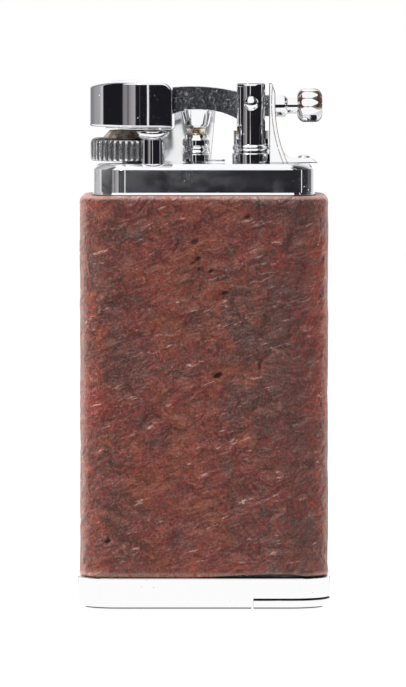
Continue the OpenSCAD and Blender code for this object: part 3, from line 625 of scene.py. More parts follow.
@dataclass(frozen=True)
class RusticatedWood(Finish):
    """Wood that is blasted and carved, stained red-brown, with a waxed skin, and painted light and shade on
    its lips and edges.
    """

    name: str = "rusticated_wood"

    def shader(self, shop: NodeShop, place: Val) -> Val:
        """Stain, streaks, hollows with painted light and shade on their lips, painted glints, chains of red
        specks and pits darkened with painted shade.

        Args:
            shop: the node shop of the material.
            place: where the shaded point lies on the piece.

        Returns:
            The shader.
        """
        wrap = shop.attribute("wrap", "Vector")
        flow = shop.attribute("flow", "Vector")
        pitted = shop.attribute("pitted")
        patch = shop.noise(wrap, 0.1, 4, 0.55)
        second = shop.noise(wrap, 0.2, 4, 0.62)
        cluster = shop.noise(shop.stretched(flow, (1.0, 1.0, 1.9)), 0.3, 4, 0.65, 0.5)
        streak = shop.noise(shop.stretched(flow, (1.0, 1.0, 1.6)), 1.0, 4, 0.7, 0.8)
        dent = shop.noise(wrap, 0.36, 3, 0.5, 0.8)
        # Painted light and shade: the hollows' noise a little further down and to the right, less the noise
        # here; where it is higher the lip is painted lighter, where lower it is painted darker.
        painted_slope_light = shop.noise(shop.moved(wrap, 0.35, 0.0, -0.5), 0.36, 3, 0.5, 0.8) - dent
        grain = shop.noise(wrap, 3.4, 3, 0.75)
        x, z = shop.part(place, "X") / MM, shop.part(place, "Z") / MM
        middle = shop.between(abs(x + 1.5), 10.0, 1.0) * 0.07
        colour = shop.mix(linear(118, 44, 32), linear(94, 50, 40), shop.between(patch - middle, 0.42, 0.56))
        # Painted glints: pale flecks in clusters along the grain, standing in for highlights on the wax.
        painted_glint = shop.between(streak, 0.53, 0.63) * shop.between(cluster, 0.57, 0.63)
        # Painted light: paler bands down the sleeve's left and right edges.
        painted_side_light = shop.between(x, -15.0, -16.2) * 0.22 + shop.between(x, 15.4, 16.3) * 0.16
        # Painted highlight along the rounded top edge, and a fainter one along the foot.
        painted_rim_highlight = shop.between(z, 53.95, 54.35) * 0.5 + shop.between(z, 5.3, 4.75) * 0.3
        level = shop.noise(shop.stretched(wrap, (1.0, 1.0, 0.45)), 0.36, 4, 0.75)
        chain = 1 - shop.between(abs(level - 0.5), 0.006, 0.026)
        points = shop.cells(shop.stretched(wrap, (1.0, 1.0, 0.7)), 2.0)
        speck = (1 - shop.between(points, 0.28, 0.5)) * chain
        red = shop.mix(linear(134, 18, 24), linear(160, 44, 26), shop.between(second + middle, 0.46, 0.6))
        # Painted shadow along the sleeve's foot: how high it rises above the foot, widest right of the
        # middle, like a wedge.
        painted_shadow_rise = shop.between(x, -3.0, 9.0) * 0.48 - shop.between(x, 10.5, 14.5) * 0.34 - 0.12
        for tone, share in (
            (linear(132, 60, 34), shop.between(second + middle, 0.5, 0.66) * 0.85),
            (linear(80, 62, 54), shop.between(second + middle * 0.5, 0.46, 0.36) * 0.75),
            (linear(62, 28, 22), shop.between(streak, 0.5, 0.36) * 0.6),
            (linear(158, 114, 102), shop.between(streak, 0.52, 0.66) * 0.32),
            # Painted shade in the low parts of the hollows.
            (linear(66, 32, 26), shop.between(dent, 0.48, 0.38) * 0.4),
            # Painted shade on the lips that face down, and painted highlight on those that face up.
            (linear(50, 24, 19), shop.between(painted_slope_light, -0.02, -0.12) * 0.26),
            (linear(166, 98, 78), shop.between(painted_slope_light, 0.04, 0.13) * 0.24),
            (linear(32, 18, 16), shop.between(grain, 0.49, 0.36) * 0.52),
            (linear(166, 120, 108), shop.between(grain, 0.53, 0.67) * 0.38),
            # Painted glints.
            (linear(202, 168, 156), painted_glint * 0.7),
            # Painted shade: a darker band on the right of the front, before the corner.
            (linear(66, 38, 33), shop.between(x, 9.6, 11.2) * shop.between(x, 15.6, 13.6) * 0.35),
            # Painted light along the left and right edges.
            (linear(204, 180, 172), painted_side_light),
            # Painted highlight on the top edge and the foot.
            (linear(206, 166, 152), painted_rim_highlight),
            (red, speck * 0.9),
            # Painted shade: the pits are darkened almost to black.
            (linear(40, 18, 12), shop.between(pitted, 0.25, 0.85) * 0.88),
            # Painted shadow: a dark line along the sleeve's foot.
            (linear(30, 22, 20), shop.between(z - painted_shadow_rise, 4.62, 4.5)),
        ):
            colour = shop.mix(colour, tone, share)
        roughness = 0.24 + grain * 0.16 - painted_glint * 0.08 + shop.between(pitted, 0.1, 0.6) * 0.5
        normal = shop.bump(dent, 1.0, 1.5, shop.bump(cluster, 0.8, 0.35))
        normal = shop.bump(grain, 1.0, 0.16, shop.bump(streak, 0.9, 0.22, normal))
        return shop.surface(colour, roughness, normal=normal, specular_ior_level=0.42)


def only(parts: Sequence[object], kind: type) -> list:
    """The parts of one kind out of what a bmesh operator gives back."""
    return [part for part in parts if isinstance(part, kind)]


@dataclass(frozen=True)
class Plan:
    """A rounded oblong seen from above."""

    width: float
    depth: float
    radius: float

    def inset(self, x: float, y: float, before: float, after: float) -> Point:
        """Move a point of the outline from one inset to another.

        Args:
            x: the point's place across the outline.
            y: its place along the depth.
            before: the inset that it lies on.
            after: the inset that it goes to.

        Returns:
            The moved point.
        """
        core_x = max(-self.width / 2 + self.radius, min(self.width / 2 - self.radius, x))
        core_y = max(-self.depth / 2 + self.radius, min(self.depth / 2 - self.radius, y))
        share = (self.radius - after) / (self.radius - before)
        return core_x + (x - core_x) * share, core_y + (y - core_y) * share


BASE_PLAN = Plan(33.2, 18.8, 5.2)


def arc(x: float, y: float, radius: float, start: float, end: float, steps: int) -> list[Point]:
    """Points on an arc, from start to end in degrees."""
    turns = [math.radians(start + (end - start) * step / steps) for step in range(steps + 1)]
    return [(x + radius * math.cos(turn), y + radius * math.sin(turn)) for turn in turns]


def placed(name: str, data: bpy.types.ID) -> bpy.types.Object:
    """Make an object and put it in the scene.

    Args:
        name: the object's name.
        data: its mesh, light or camera.

    Returns:
        The object.
    """
    made = bpy.data.objects.new(name, data)
    bpy.context.scene.collection.objects.link(made)
    return made


class Blank:
    """A mesh in millimetres that bmesh operators shape into one piece."""

    def __init__(self) -> None:
        """Start with nothing."""
        self.bm = bmesh.new()

    @classmethod
    def turned(cls, profile: Sequence[Point], steps: int = 96, closed: bool = False) -> Blank:
        """Spin a profile round Z.

        Args:
            profile: points of radius and height; an open one starts and ends on the axis.
            steps: faces round the axis.
            closed: whether the last point joins the first, as on a ring.

        Returns:
            The turned shape.
        """
        blank = cls()
        points = [blank.bm.verts.new((radius, 0, height)) for radius, height in profile]
        pairs = list(zip(points, points[1:])) + ([(points[-1], points[0])] if closed else [])
        edges = [blank.bm.edges.new(pair) for pair in pairs]
        round_z = {"axis": (0, 0, 1), "cent": (0, 0, 0), "angle": math.tau}
        bmesh.ops.spin(blank.bm, geom=points + edges, steps=steps, use_merge=True, **round_z)
        return blank.healed()

    @classmethod
    def prism(cls, outline: Sequence[Point], low: float, high: float, along: Axis) -> Blank:
        """Extrude an outline: one of x and y along Z, or one of x and z along Y.

        Args:
            outline: points of the outline, in order.
            low: where the shape starts.
            high: where it ends.
            along: the axis between the two.

        Returns:
            A closed shape.
        """
        blank = cls()
        upright = along is Axis.Z
        points = [blank.bm.verts.new((a, b, low) if upright else (a, low, b)) for a, b in outline]
        face = blank.bm.faces.new(points)
        made = bmesh.ops.extrude_face_region(blank.bm, geom=[face])["geom"]
        rise = (0, 0, high - low) if upright else (0, high - low, 0)
        bmesh.ops.translate(blank.bm, vec=rise, verts=only(made, bmesh.types.BMVert))
        return blank.healed()

    @classmethod
    def block(cls, plan: Plan, levels: Sequence[Point], segments: int = 20) -> Blank:
        """Grow a block with a rounded plan ring by ring.

        Args:
            plan: the widest outline.
            levels: inset and height of each ring, from the underside to the top.
            segments: faces round each corner.

        Returns:
            A closed block.
        """
        blank = cls()
        bm = blank.bm
        bmesh.ops.create_grid(bm, x_segments=1, y_segments=1, size=0.5)
        bmesh.ops.scale(bm, vec=(plan.width, plan.depth, 1), verts=bm.verts)
        bend = {"offset": plan.radius, "segments": segments, "profile": 0.5, "material": -1}
        bmesh.ops.bevel(bm, geom=bm.verts[:], affect="VERTICES", **bend)
        blank._level(bm.verts[:], plan, 0.0, levels[0])
        ring = bm.edges[:]
        for (before, _), level in zip(levels, levels[1:]):
            made = bmesh.ops.extrude_edge_only(bm, edges=ring)["geom"]
            points = only(made, bmesh.types.BMVert)
            blank._level(points, plan, before, level)
            ring = [edge for edge in only(made, bmesh.types.BMEdge) if set(edge.verts) <= set(points)]
        bmesh.ops.contextual_create(bm, geom=ring)
        return blank.healed()

    @staticmethod
    def _level(points: Sequence[bmesh.types.BMVert], plan: Plan, before: float, level: Point) -> None:
        """Place one ring of a block.

        Args:
            points: the ring's points.
            plan: the widest outline.
            before: the inset that they lie on.
            level: the inset and height that they go to.
        """
        for point in points:
            x, y = plan.inset(point.co.x, point.co.y, before, level[0])
            point.co = Vector((x, y, level[1]))

    @classmethod
    def box(cls, low: Spot, high: Spot) -> Blank:
        """A box between two corners, used as a cutter.

        Args:
            low: the corner with the least values.
            high: the corner with the greatest values.

        Returns:
            The box.
        """
        blank = cls()
        bmesh.ops.create_cube(blank.bm, size=1)
        size = [b - a for a, b in zip(low, high)]
        bmesh.ops.scale(blank.bm, vec=size, verts=blank.bm.verts)
        bmesh.ops.translate(blank.bm, vec=[(a + b) / 2 for a, b in zip(low, high)], verts=blank.bm.verts)
        return blank

    @classmethod
    def rod(cls, radius: float, low: float, high: float, steps: int = 64) -> Blank:
        """An upright cylinder, used as a cutter or a plain pin."""
        return cls.turned([(0, low), (radius, low), (radius, high), (0, high)], steps)

    def healed(self) -> Blank:
        """Merge doubles and turn the faces outwards.

        Returns:
            The shape itself.
        """
        bmesh.ops.remove_doubles(self.bm, verts=self.bm.verts, dist=1e-4)
        bmesh.ops.dissolve_degenerate(self.bm, dist=1e-5, edges=self.bm.edges)
        bmesh.ops.recalc_face_normals(self.bm, faces=self.bm.faces)
        return self

    def softened(self, width: float, segments: int = 2, sharper_than: float = 30) -> Blank:
        """Round every edge that is sharper than an angle in degrees.

        Args:
            width: how wide the bevel is.
            segments: steps across the bevel.
            sharper_than: the angle, in degrees.

        Returns:
            The shape itself.
        """
        limit = math.radians(sharper_than)
        edges = [edge for edge in self.bm.edges if edge.calc_face_angle(0) > limit]
        return self.bevelled(edges, width, segments)

    def bevelled(self, edges: Sequence[bmesh.types.BMEdge], width: float, segments: int) -> Blank:
        """Bevel some edges.

        Args:
            edges: the edges.
            width: how wide the bevel is.
            segments: steps across the bevel.

        Returns:
            The shape itself.
        """
        bend = {"offset": width, "segments": segments, "profile": 0.5, "material": -1}
        bmesh.ops.bevel(self.bm, geom=list(edges), affect="EDGES", clamp_overlap=True, **bend)
        return self

    def moved(self, x: float = 0, y: float = 0, z: float = 0) -> Blank:
        """Shift the shape."""
        bmesh.ops.translate(self.bm, vec=(x, y, z), verts=self.bm.verts)
        return self

    def turned_by(self, degrees: float, axis: Axis) -> Blank:
        """Turn the shape round an axis through the origin.

        Args:
            degrees: the angle.
            axis: the axis.

        Returns:
            The shape itself.
        """
        turn = Matrix.Rotation(math.radians(degrees), 3, axis.value.upper())
        bmesh.ops.rotate(self.bm, cent=(0, 0, 0), matrix=turn, verts=self.bm.verts)
        return self

    def laid(self, along: Axis) -> Blank:
        """Lay an upright shape along another axis, with its top towards plus X or minus Y.

        Args:
            along: the axis that it comes to lie on.

        Returns:
            The shape itself.
        """
        if along is Axis.X:
            return self.turned_by(90, Axis.Y)
        if along is Axis.Y:
            return self.turned_by(90, Axis.X)
        return self

    def cut_away(self, point: Spot, towards: Spot) -> Blank:
        """Cut with a plane, drop what lies on the side that towards points to, and close the cut.

        Args:
            point: a point of the plane.
            towards: the direction of the side that is dropped.

        Returns:
            The shape itself.
        """
        bm = self.bm
        geom = bm.verts[:] + bm.edges[:] + bm.faces[:]
        plane = {"plane_co": point, "plane_no": towards, "clear_outer": True}
        cut = bmesh.ops.bisect_plane(bm, geom=geom, dist=1e-5, **plane)["geom_cut"]
        bmesh.ops.contextual_create(bm, geom=only(cut, bmesh.types.BMEdge))
        return self.healed()

    def pressed(self, limit: Callable[[float, float, float], float]) -> Blank:
        """Press points in towards the Z axis.

        Args:
            limit: gives how far out a point may lie, from its reach, its turn in radians and its height.

        Returns:
            The same shape.
        """
        for point in self.bm.verts:
            reach = math.hypot(point.co.x, point.co.y)
            furthest = limit(reach, math.atan2(point.co.y, point.co.x), point.co.z)
            if furthest < reach:
                point.co.x *= furthest / reach
                point.co.y *= furthest / reach
        return self

    def joined(self, other: Blank) -> Blank:
        """Take in another closed shape as it stands.

        Args:
            other: the shape that is taken in.

        Returns:
            The shape itself.
        """
        mesh = other.as_mesh("joined")
        self.bm.from_mesh(mesh)
        bpy.data.meshes.remove(mesh)
        return self

    def carved(self, *cutters: Blank) -> Blank:
        """Take other shapes away from this one.

        Args:
            cutters: the shapes that are taken away.

        Returns:
            The shape itself.
        """
        for cutter in cutters:
            target = placed("target", self.as_mesh("target"))
            tool = placed("tool", cutter.as_mesh("tool"))
            cut = target.modifiers.new("cut", "BOOLEAN")
            cut.operation, cut.solver, cut.object = "DIFFERENCE", "EXACT", tool
            result = target.evaluated_get(bpy.context.evaluated_depsgraph_get())
            mesh = bpy.data.meshes.new_from_object(result)
            self.bm.clear()
            self.bm.from_mesh(mesh)
            spare = [target.data, tool.data, mesh]
            for thing in (target, tool):
                bpy.data.objects.remove(thing)
            for data in spare:
                bpy.data.meshes.remove(data)
        return self.healed()

    def as_mesh(self, name: str) -> bpy.types.Mesh:
        """Copy the shape into a mesh datablock.

        Args:
            name: the mesh's name.

        Returns:
            The mesh.
        """
        mesh = bpy.data.meshes.new(name)
        self.bm.to_mesh(mesh)
        return mesh

    def piece(
        self,
        node: str,
        material: Material,
        body: Body = Body.CASE,
        slot: str = "head_chrome",
        crisp: float = 32,
    ) -> bpy.types.Object:
        """Finish the shape as one piece of the lighter.

        Args:
            node: the CAD node that it stands for, whose name it takes.
            material: its finish.
            body: the body that it rides on.
            slot: not used.
            crisp: edges sharper than this angle in degrees stay crisp.

        Returns:
            The object, at the origin, in metres.
        """
        limit = math.radians(crisp)
        for face in self.bm.faces:
            face.smooth = True
        for edge in self.bm.edges:
            edge.smooth = edge.calc_face_angle(0) < limit
        bmesh.ops.scale(self.bm, vec=(MM, MM, MM), verts=self.bm.verts)
        made = dressed(node, self.as_mesh(f"{node}_dressed"), material, body)
        self.bm.free()
        flats = made.modifiers.new("even flats", "WEIGHTED_NORMAL")
        flats.keep_sharp = True
        return made


def dressed(
    node: str, mesh: bpy.types.Mesh, material: Material, body: Body
) -> bpy.types.Object:
    """Make the object of a piece, give it its finish, hang it on its body's empty and hide the CAD node that
    it stands for.

    Args:
        node: the piece's name.
        mesh: its mesh.
        material: its finish.
        body: the body that it rides on.

    Returns:
        The object.
    """
    made = placed(f"{node}_dressed", mesh)
    mesh.materials.append(material)
    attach(made, body.value)
    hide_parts(node)
    log.info("%s: %d faces, rides on %s", made.name, len(mesh.polygons), body.value)
    return made


WHITE = (1.0, 1.0, 1.0)
LIGHT = (255, 255, 255)
DARK = (28, 27, 32)
# What the chrome mirrors at each azimuth, in degrees from the camera's side, as a screen shows it
PANELS: list[tuple[float, tuple[int, int, int]]] = [
    (-180, LIGHT),
    (-160, LIGHT),
    (-142, (215, 214, 214)),
    (-130, (190, 188, 188)),
    (-126, (70, 69, 72)),
    (-112, (100, 99, 102)),
    (-104, (40, 39, 43)),
    (-77.3, DARK),
    (-76.5, LIGHT),
    (-74.2, LIGHT),
    (-73.4, DARK),
    (3.0, DARK),
    (3.5, LIGHT),
    (5.7, LIGHT),
    (6.2, DARK),
    (18.5, DARK),
    (19.2, (125, 123, 125)),
    (19.9, DARK),
    (27.3, DARK),
    (28.3, (176, 172, 172)),
    (39.0, (142, 139, 140)),
    (40.5, (98, 95, 97)),
    (42.5, (104, 101, 103)),
    (44.0, (140, 137, 139)),
    (50.5, (130, 128, 130)),
    (52.5, DARK),
    (98.0, DARK),
    (101.3, (216, 214, 213)),
    (110.0, (168, 166, 167)),
    (127.0, (160, 158, 160)),
    (150.0, (118, 117, 120)),
    (172.0, LIGHT),
]


@dataclass(frozen=True)
class PaleFloor(Finish):
    """The stage's floor: white to the camera, with marks on it that only metal mirrors.

    A dark strip widens behind the lighter, and a thin ring of painted contact shadow follows the plan under
    the base's rounded edge.
    """

    name: str = "floor"
    plan: Plan = BASE_PLAN
    spread: float = 0.45
    # Insets from the outline at which the ring of painted contact shadow starts and ends
    ring: Point = (0.79, 1.09)
    blur: float = 0.05

    def shader(self, shop: NodeShop, place: Val) -> Val:
        """White, matt or mirrored, by the kind of ray; the ring is measured inwards from the outline.

        Args:
            shop: the node shop of the material.
            place: where the shaded point lies on the piece.

        Returns:
            The shader.
        """
        behind, aside = shop.part(place, "Y"), abs(shop.part(place, "X"))
        strip = shop.between(behind, 0.02, 0.05) * (1 - shop.between(aside - behind * self.spread, 0.0, 0.02))
        bend = self.plan.radius
        across = (aside / MM - (self.plan.width / 2 - bend)).highest(0)
        along = (abs(behind) / MM - (self.plan.depth / 2 - bend)).highest(0)
        inset = bend - (across * across + along * along) ** 0.5
        near, far = self.ring
        # Painted contact shadow: a ring that only the chrome mirrors.
        ring = shop.between(inset, far + self.blur, far - self.blur)
        ring = ring * shop.between(inset, near - self.blur, near + self.blur)
        mirrored = shop.glow(shop.mix(shop.mix(WHITE, (0.1, 0.1, 0.11), strip), (0.08, 0.08, 0.08), ring))
        white = shop.node("ShaderNodeAddShader", {}, {0: shop.glow(WHITE, 0.88), 1: shop.matt(0.26)})
        shown = shop.blend(shop.seen(), shop.blend(shop.ray("Glossy"), shop.matt(0.82), mirrored), white)
        under = shop.node("ShaderNodeNewGeometry", {}, {}, "Backfacing")
        return shop.blend(under, shown, shop.node("ShaderNodeBsdfTransparent"))


@dataclass
class Studio:
    """Camera, floor, lamps and surroundings."""

    aim: Spot = (-0.13, 0.0, 34.74)
    reach: float = 1200.0
    elevation: float = 3.2
    view_height: float = 90.74
    sensor: float = 36.0
    floor_front: float = 150.0
    floor_side: float = 600.0
    floor_back: float = 1000.0
    dark_top: float = 0.14
    side_top: float = 0.9

    def camera(self) -> None:
        """Place the camera where the photograph was taken from."""
        data = bpy.data.cameras.new("camera")
        data.sensor_fit = "VERTICAL"
        data.sensor_height = self.sensor
        data.lens = self.reach * self.sensor / self.view_height
        data.clip_start, data.clip_end = 0.05, 10.0
        made = placed("camera", data)
        tilt = math.radians(self.elevation)
        aim = Vector(self.aim) * MM
        made.location = aim + Vector((0, -math.cos(tilt), math.sin(tilt))) * self.reach * MM
        made.rotation_euler = (math.pi / 2 - tilt, 0, 0)
        bpy.context.scene.camera = made

    def lamps(self) -> None:
        """One lamp above the front carves out the wood; two at the sides show on matt surfaces alone."""
        for name, place, size, power, shown in (
            ("key lamp", (-240, -330, 900), 100, 9.0, True),
            ("left lamp", (-800, 230, 160), 300, 15.0, False),
            ("right lamp", (800, 230, 160), 300, 10.0, False),
        ):
            data = bpy.data.lights.new(name, "AREA")
            data.size, data.energy = size * MM, power
            made = placed(name, data)
            made.location = Vector(place) * MM
            made.rotation_euler = (Vector(self.aim) - Vector(place)).to_track_quat("-Z", "Y").to_euler()
            made.visible_glossy = shown
            made.visible_camera = False

    def floor(self) -> None:
        """A pale floor that keeps a faint shadow and shows white to the camera."""
        blank = Blank()
        bmesh.ops.create_grid(blank.bm, x_segments=1, y_segments=1, size=0.5)
        deep = self.floor_front + self.floor_back
        bmesh.ops.scale(blank.bm, vec=(2 * self.floor_side * MM, deep * MM, 1), verts=blank.bm.verts)
        blank.moved(0, (self.floor_back - self.floor_front) / 2 * MM, 0)
        made = placed("floor", blank.as_mesh("floor"))
        made.data.materials.append(PaleFloor().material())

    def surroundings(self) -> None:
        """White to the camera, even light for matt surfaces, and panels round the lighter for its chrome."""
        world = bpy.data.worlds.new("surroundings")
        bpy.context.scene.world = world
        world.use_nodes = True
        shop = NodeShop(world.node_tree)
        ray = shop.node("ShaderNodeTexCoord", {}, {}, "Generated")
        x, y, z = (shop.part(ray, name) for name in "XYZ")
        turn = (x * -1).angle_to(y * -1) / math.tau + 0.5
        panels = shop.ramp(turn, [(azimuth / 360 + 0.5, linear(*tone)) for azimuth, tone in PANELS])
        aside = abs((turn - 0.5) * 360 - 5)
        limit = shop.between(aside, 30, 75) * (self.side_top - self.dark_top) + self.dark_top
        panels = shop.mix(panels, WHITE, shop.between(z - limit, 0.0, 0.05))
        colour = shop.mix(shop.mix((0.22, 0.22, 0.23), panels, shop.ray("Glossy")), WHITE, shop.seen())
        sky = shop.node("ShaderNodeBackground", {}, {"Color": colour, "Strength": 1.0})
        shop.close(sky, "ShaderNodeOutputWorld")


@dataclass
class WoodSleeve:
    """The rusticated sleeve: a fine grid wrapped round its plan and pressed in where it is carved."""

    width: float = 32.8
    depth: float = 18.4
    radius: float = 5.0
    wall: float = 1.8
    low: float = 4.4
    high: float = 54.5
    edge: float = 1.0
    foot_edge: float = 0.6
    columns: int = 372
    rows: int = 190
    seed: int = 11
    scoops: int = 2600
    # Mean and spread of the scoops' turn in degrees, their least half length and what chance adds to it,
    # and the limits of their width as a share of their length, and of their depth
    grain_angle: float = 31.0
    grain_spread: float = 26.0
    scoop_half: Point = (0.35, 1.3)
    scoop_share: Point = (0.4, 0.85)
    scoop_depth: Point = (0.05, 0.2)
    # Lower powers make the bowl of a scoop and of a pit flatter; nothing is carved deeper than the last value
    scoop_bowl: float = 0.85
    pit_bowl: float = 0.5
    deepest: float = 0.55
    # Place along the front, height, half length and depth of each deep pit
    pits: tuple[tuple[float, float, float, float], ...] = (
        (-0.793, 46.361, 0.55, 0.32),
        (2.774, 41.87, 0.6, 0.26),
        (1.849, 31.039, 0.75, 0.4),
        (-12.68, 9.246, 0.6, 0.3),
        (-1.453, 45.833, 0.45, 0.25),
        (-0.66, 45.04, 0.4, 0.22),
        (0.925, 44.776, 0.5, 0.24),
        (-1.189, 48.607, 0.7, 0.2),
        (5.68, 51.777, 0.5, 0.22),
    )
    # Turn in radians of each pit's long axis, and its width as a share of its length
    pit_turn: float = 0.4
    pit_share: float = 0.6
    # Waves round the sleeve, rise of each in radians for a millimetre, phase and height of its slow swells
    swells: tuple[tuple[int, float, float, float], ...] = (
        (5, 0.55, 0.3, 0.05),
        (11, 0.31, 1.7, 0.04),
        (17, -0.62, 4.0, 0.03),
        (8, 1.1, 2.2, 0.03),
    )

    def build(self, material: Material) -> None:
        """Make the sleeve and dress it.

        Args:
            material: the wood's finish.
        """
        path = self._path()
        bm = bmesh.new()
        bmesh.ops.create_grid(bm, x_segments=self.columns, y_segments=len(path) - 1, size=0.5)
        mesh = bpy.data.meshes.new("wood_sleeve_dressed")
        bm.to_mesh(mesh)
        bm.free()
        flat = np.zeros(len(mesh.vertices) * 3, np.float64)
        mesh.vertices.foreach_get("co", flat)
        flat = flat.reshape(-1, 3)
        column = np.rint((flat[:, 0] + 0.5) * self.columns).astype(int)
        row = np.rint((flat[:, 1] + 0.5) * (len(path) - 1)).astype(int)
        inset, height, fade = (np.array(values)[row] for values in zip(*path))
        along = self._girth() * column / self.columns
        core_x, core_y, out_x, out_y = self._plan(along)
        depth, pitted = self._relief(along, height)
        depth *= fade
        reach = self.radius - inset - depth
        places = np.stack([core_x + out_x * reach, core_y + out_y * reach, height], axis=1) * MM
        mesh.vertices.foreach_set("co", places.astype(np.float32).ravel())
        self._carry(mesh, along, height, pitted)
        bm = bmesh.new()
        bm.from_mesh(mesh)
        bmesh.ops.remove_doubles(bm, verts=bm.verts, dist=2e-6)
        bmesh.ops.recalc_face_normals(bm, faces=bm.faces)
        for face in bm.faces:
            face.smooth = True
        bm.to_mesh(mesh)
        bm.free()
        dressed("wood_sleeve", mesh, material, Body.CASE)

    def _girth(self) -> float:
        """The length of the outline."""
        return 2 * (self.width + self.depth - 4 * self.radius) + math.tau * self.radius

    def _path(self) -> list[tuple[float, float, float]]:
        """Inset, height and share of the carving for each row, up the outside and down the inside.

        Returns:
            The rows, in order.
        """
        start, end = self.low + self.foot_edge, self.high - self.edge
        foot = [(self.foot_edge - a, start - b, 0.0) for a, b in arc(0, 0, self.foot_edge, 90, 0, 6)]
        wall = []
        for step in range(1, self.rows):
            height = start + (end - start) * step / self.rows
            from_rim = min(height - start, end - height + 0.4)
            wall.append((0.0, height, min(1.0, max(0.0, from_rim / 0.9))))
        bend = enumerate(arc(0, 0, self.edge, 0, 90, 8))
        top = [(self.edge - a, end + b, 0.35 * (1 - step / 8)) for step, (a, b) in bend]
        corners = (self.wall, self.high, 0.0), (self.wall, self.low, 0.0)
        return [corners[1], *foot, *wall, *top, *corners]

    def _plan(self, along: np.ndarray) -> tuple[np.ndarray, np.ndarray, np.ndarray, np.ndarray]:
        """Corner centres and outward directions for distances along the outline from the back's middle.

        Args:
            along: the distances.

        Returns:
            The centres' x and y, and the directions' x and y.
        """
        wide, deep = self.width / 2 - self.radius, self.depth / 2 - self.radius
        bend = math.pi * self.radius / 2
        marks = np.cumsum([0, wide, bend, 2 * deep, bend, 2 * wide, bend, 2 * deep, bend, wide])
        leg = np.clip(np.searchsorted(marks, along, side="right") - 1, 0, 8)
        rest = along - marks[leg]
        start = np.array([90, 90, 180, 180, 270, 270, 0, 0, 90], float)
        turn = np.radians(start[leg] + np.where(leg % 2 == 1, rest / bend * 90, 0))
        corner = [(0, 1), (-1, 1), (-1, 1), (-1, -1), (-1, -1), (1, -1), (1, -1), (1, 1), (1, 1)]
        heading = [(-1, 0), (0, 0), (0, -1), (0, 0), (1, 0), (0, 0), (0, 1), (0, 0), (-1, 0)]
        x, y = (np.array(corner)[leg] * (wide, deep) + np.array(heading)[leg] * rest[:, np.newaxis]).T
        return x, y, np.cos(turn), np.sin(turn)

    def _relief(self, along: np.ndarray, height: np.ndarray) -> tuple[np.ndarray, np.ndarray]:
        """How deep the surface is carved at each point, in millimetres, and how far down a pit it is.

        Args:
            along: distances along the outline.
            height: heights.

        Returns:
            The depths, and the shares of a pit's depth.
        """
        rng = np.random.default_rng(self.seed)
        girth = self._girth()
        depth, pitted = np.zeros_like(along), np.zeros_like(along)
        least, extra = self.scoop_half
        angle = np.radians(rng.normal(self.grain_angle, self.grain_spread, self.scoops))
        long = least + extra * rng.uniform(0, 1, self.scoops) ** 2
        share = rng.uniform(*self.scoop_share, self.scoops)
        deep = rng.uniform(*self.scoop_depth, self.scoops) * np.sqrt(long)
        limits = (0, girth), (self.low, self.high)
        places = np.stack([rng.uniform(*pair, self.scoops) for pair in limits], axis=1)
        pits = np.array(self.pits)
        places = np.concatenate([places, pits[:, :2] + (girth / 2, 0)])
        angle = np.append(angle, np.full(len(pits), self.pit_turn))
        share = np.append(share, np.full(len(pits), self.pit_share))
        long, deep = np.append(long, pits[:, 2]), np.append(deep, pits[:, 3])
        for number, ((mid, up), lean, half, thin, hollow) in enumerate(zip(places, angle, long, share, deep)):
            off = (along - mid + girth / 2) % girth - girth / 2
            near = np.flatnonzero((np.abs(off) < half) & (np.abs(height - up) < half))
            ahead = off[near] * math.cos(lean) + (height[near] - up) * math.sin(lean)
            aside = (height[near] - up) * math.cos(lean) - off[near] * math.sin(lean)
            is_pit = number >= self.scoops
            bowl = np.clip(1 - (ahead / half) ** 2 - (aside / (half * thin)) ** 2, 0, 1)
            bowl = bowl ** (self.pit_bowl if is_pit else self.scoop_bowl)
            depth[near] = np.maximum(depth[near], hollow * bowl)
            if is_pit:
                pitted[near] = np.maximum(pitted[near], bowl)
        turn = math.tau * along / girth
        swell = np.zeros_like(along)
        for waves, rise, phase, size in self.swells:
            swell += size * (1 + np.sin(waves * turn + rise * height + phase)) / 2
        return np.clip(depth + swell, 0, self.deepest), pitted

    def _carry(self, mesh: bpy.types.Mesh, along: np.ndarray, height: np.ndarray, pitted: np.ndarray) -> None:
        """Store what the wood's material reads: two seamless places and the pits.

        Args:
            mesh: the sleeve's mesh.
            along: each point's distance along the outline.
            height: each point's height.
            pitted: how far down a pit each point is.
        """
        girth = self._girth()
        ring = girth / math.tau
        for name, shift in (("wrap", 0.0), ("flow", 1 / math.tan(math.radians(self.grain_angle)))):
            turn = (along - height * shift) / ring
            places = np.stack([ring * np.cos(turn), ring * np.sin(turn), height], axis=1) * MM
            made = mesh.attributes.new(name, "FLOAT_VECTOR", "POINT")
            made.data.foreach_set("vector", places.astype(np.float32).ravel())
        made = mesh.attributes.new("pitted", "FLOAT", "POINT")
        made.data.foreach_set("value", pitted.astype(np.float32))


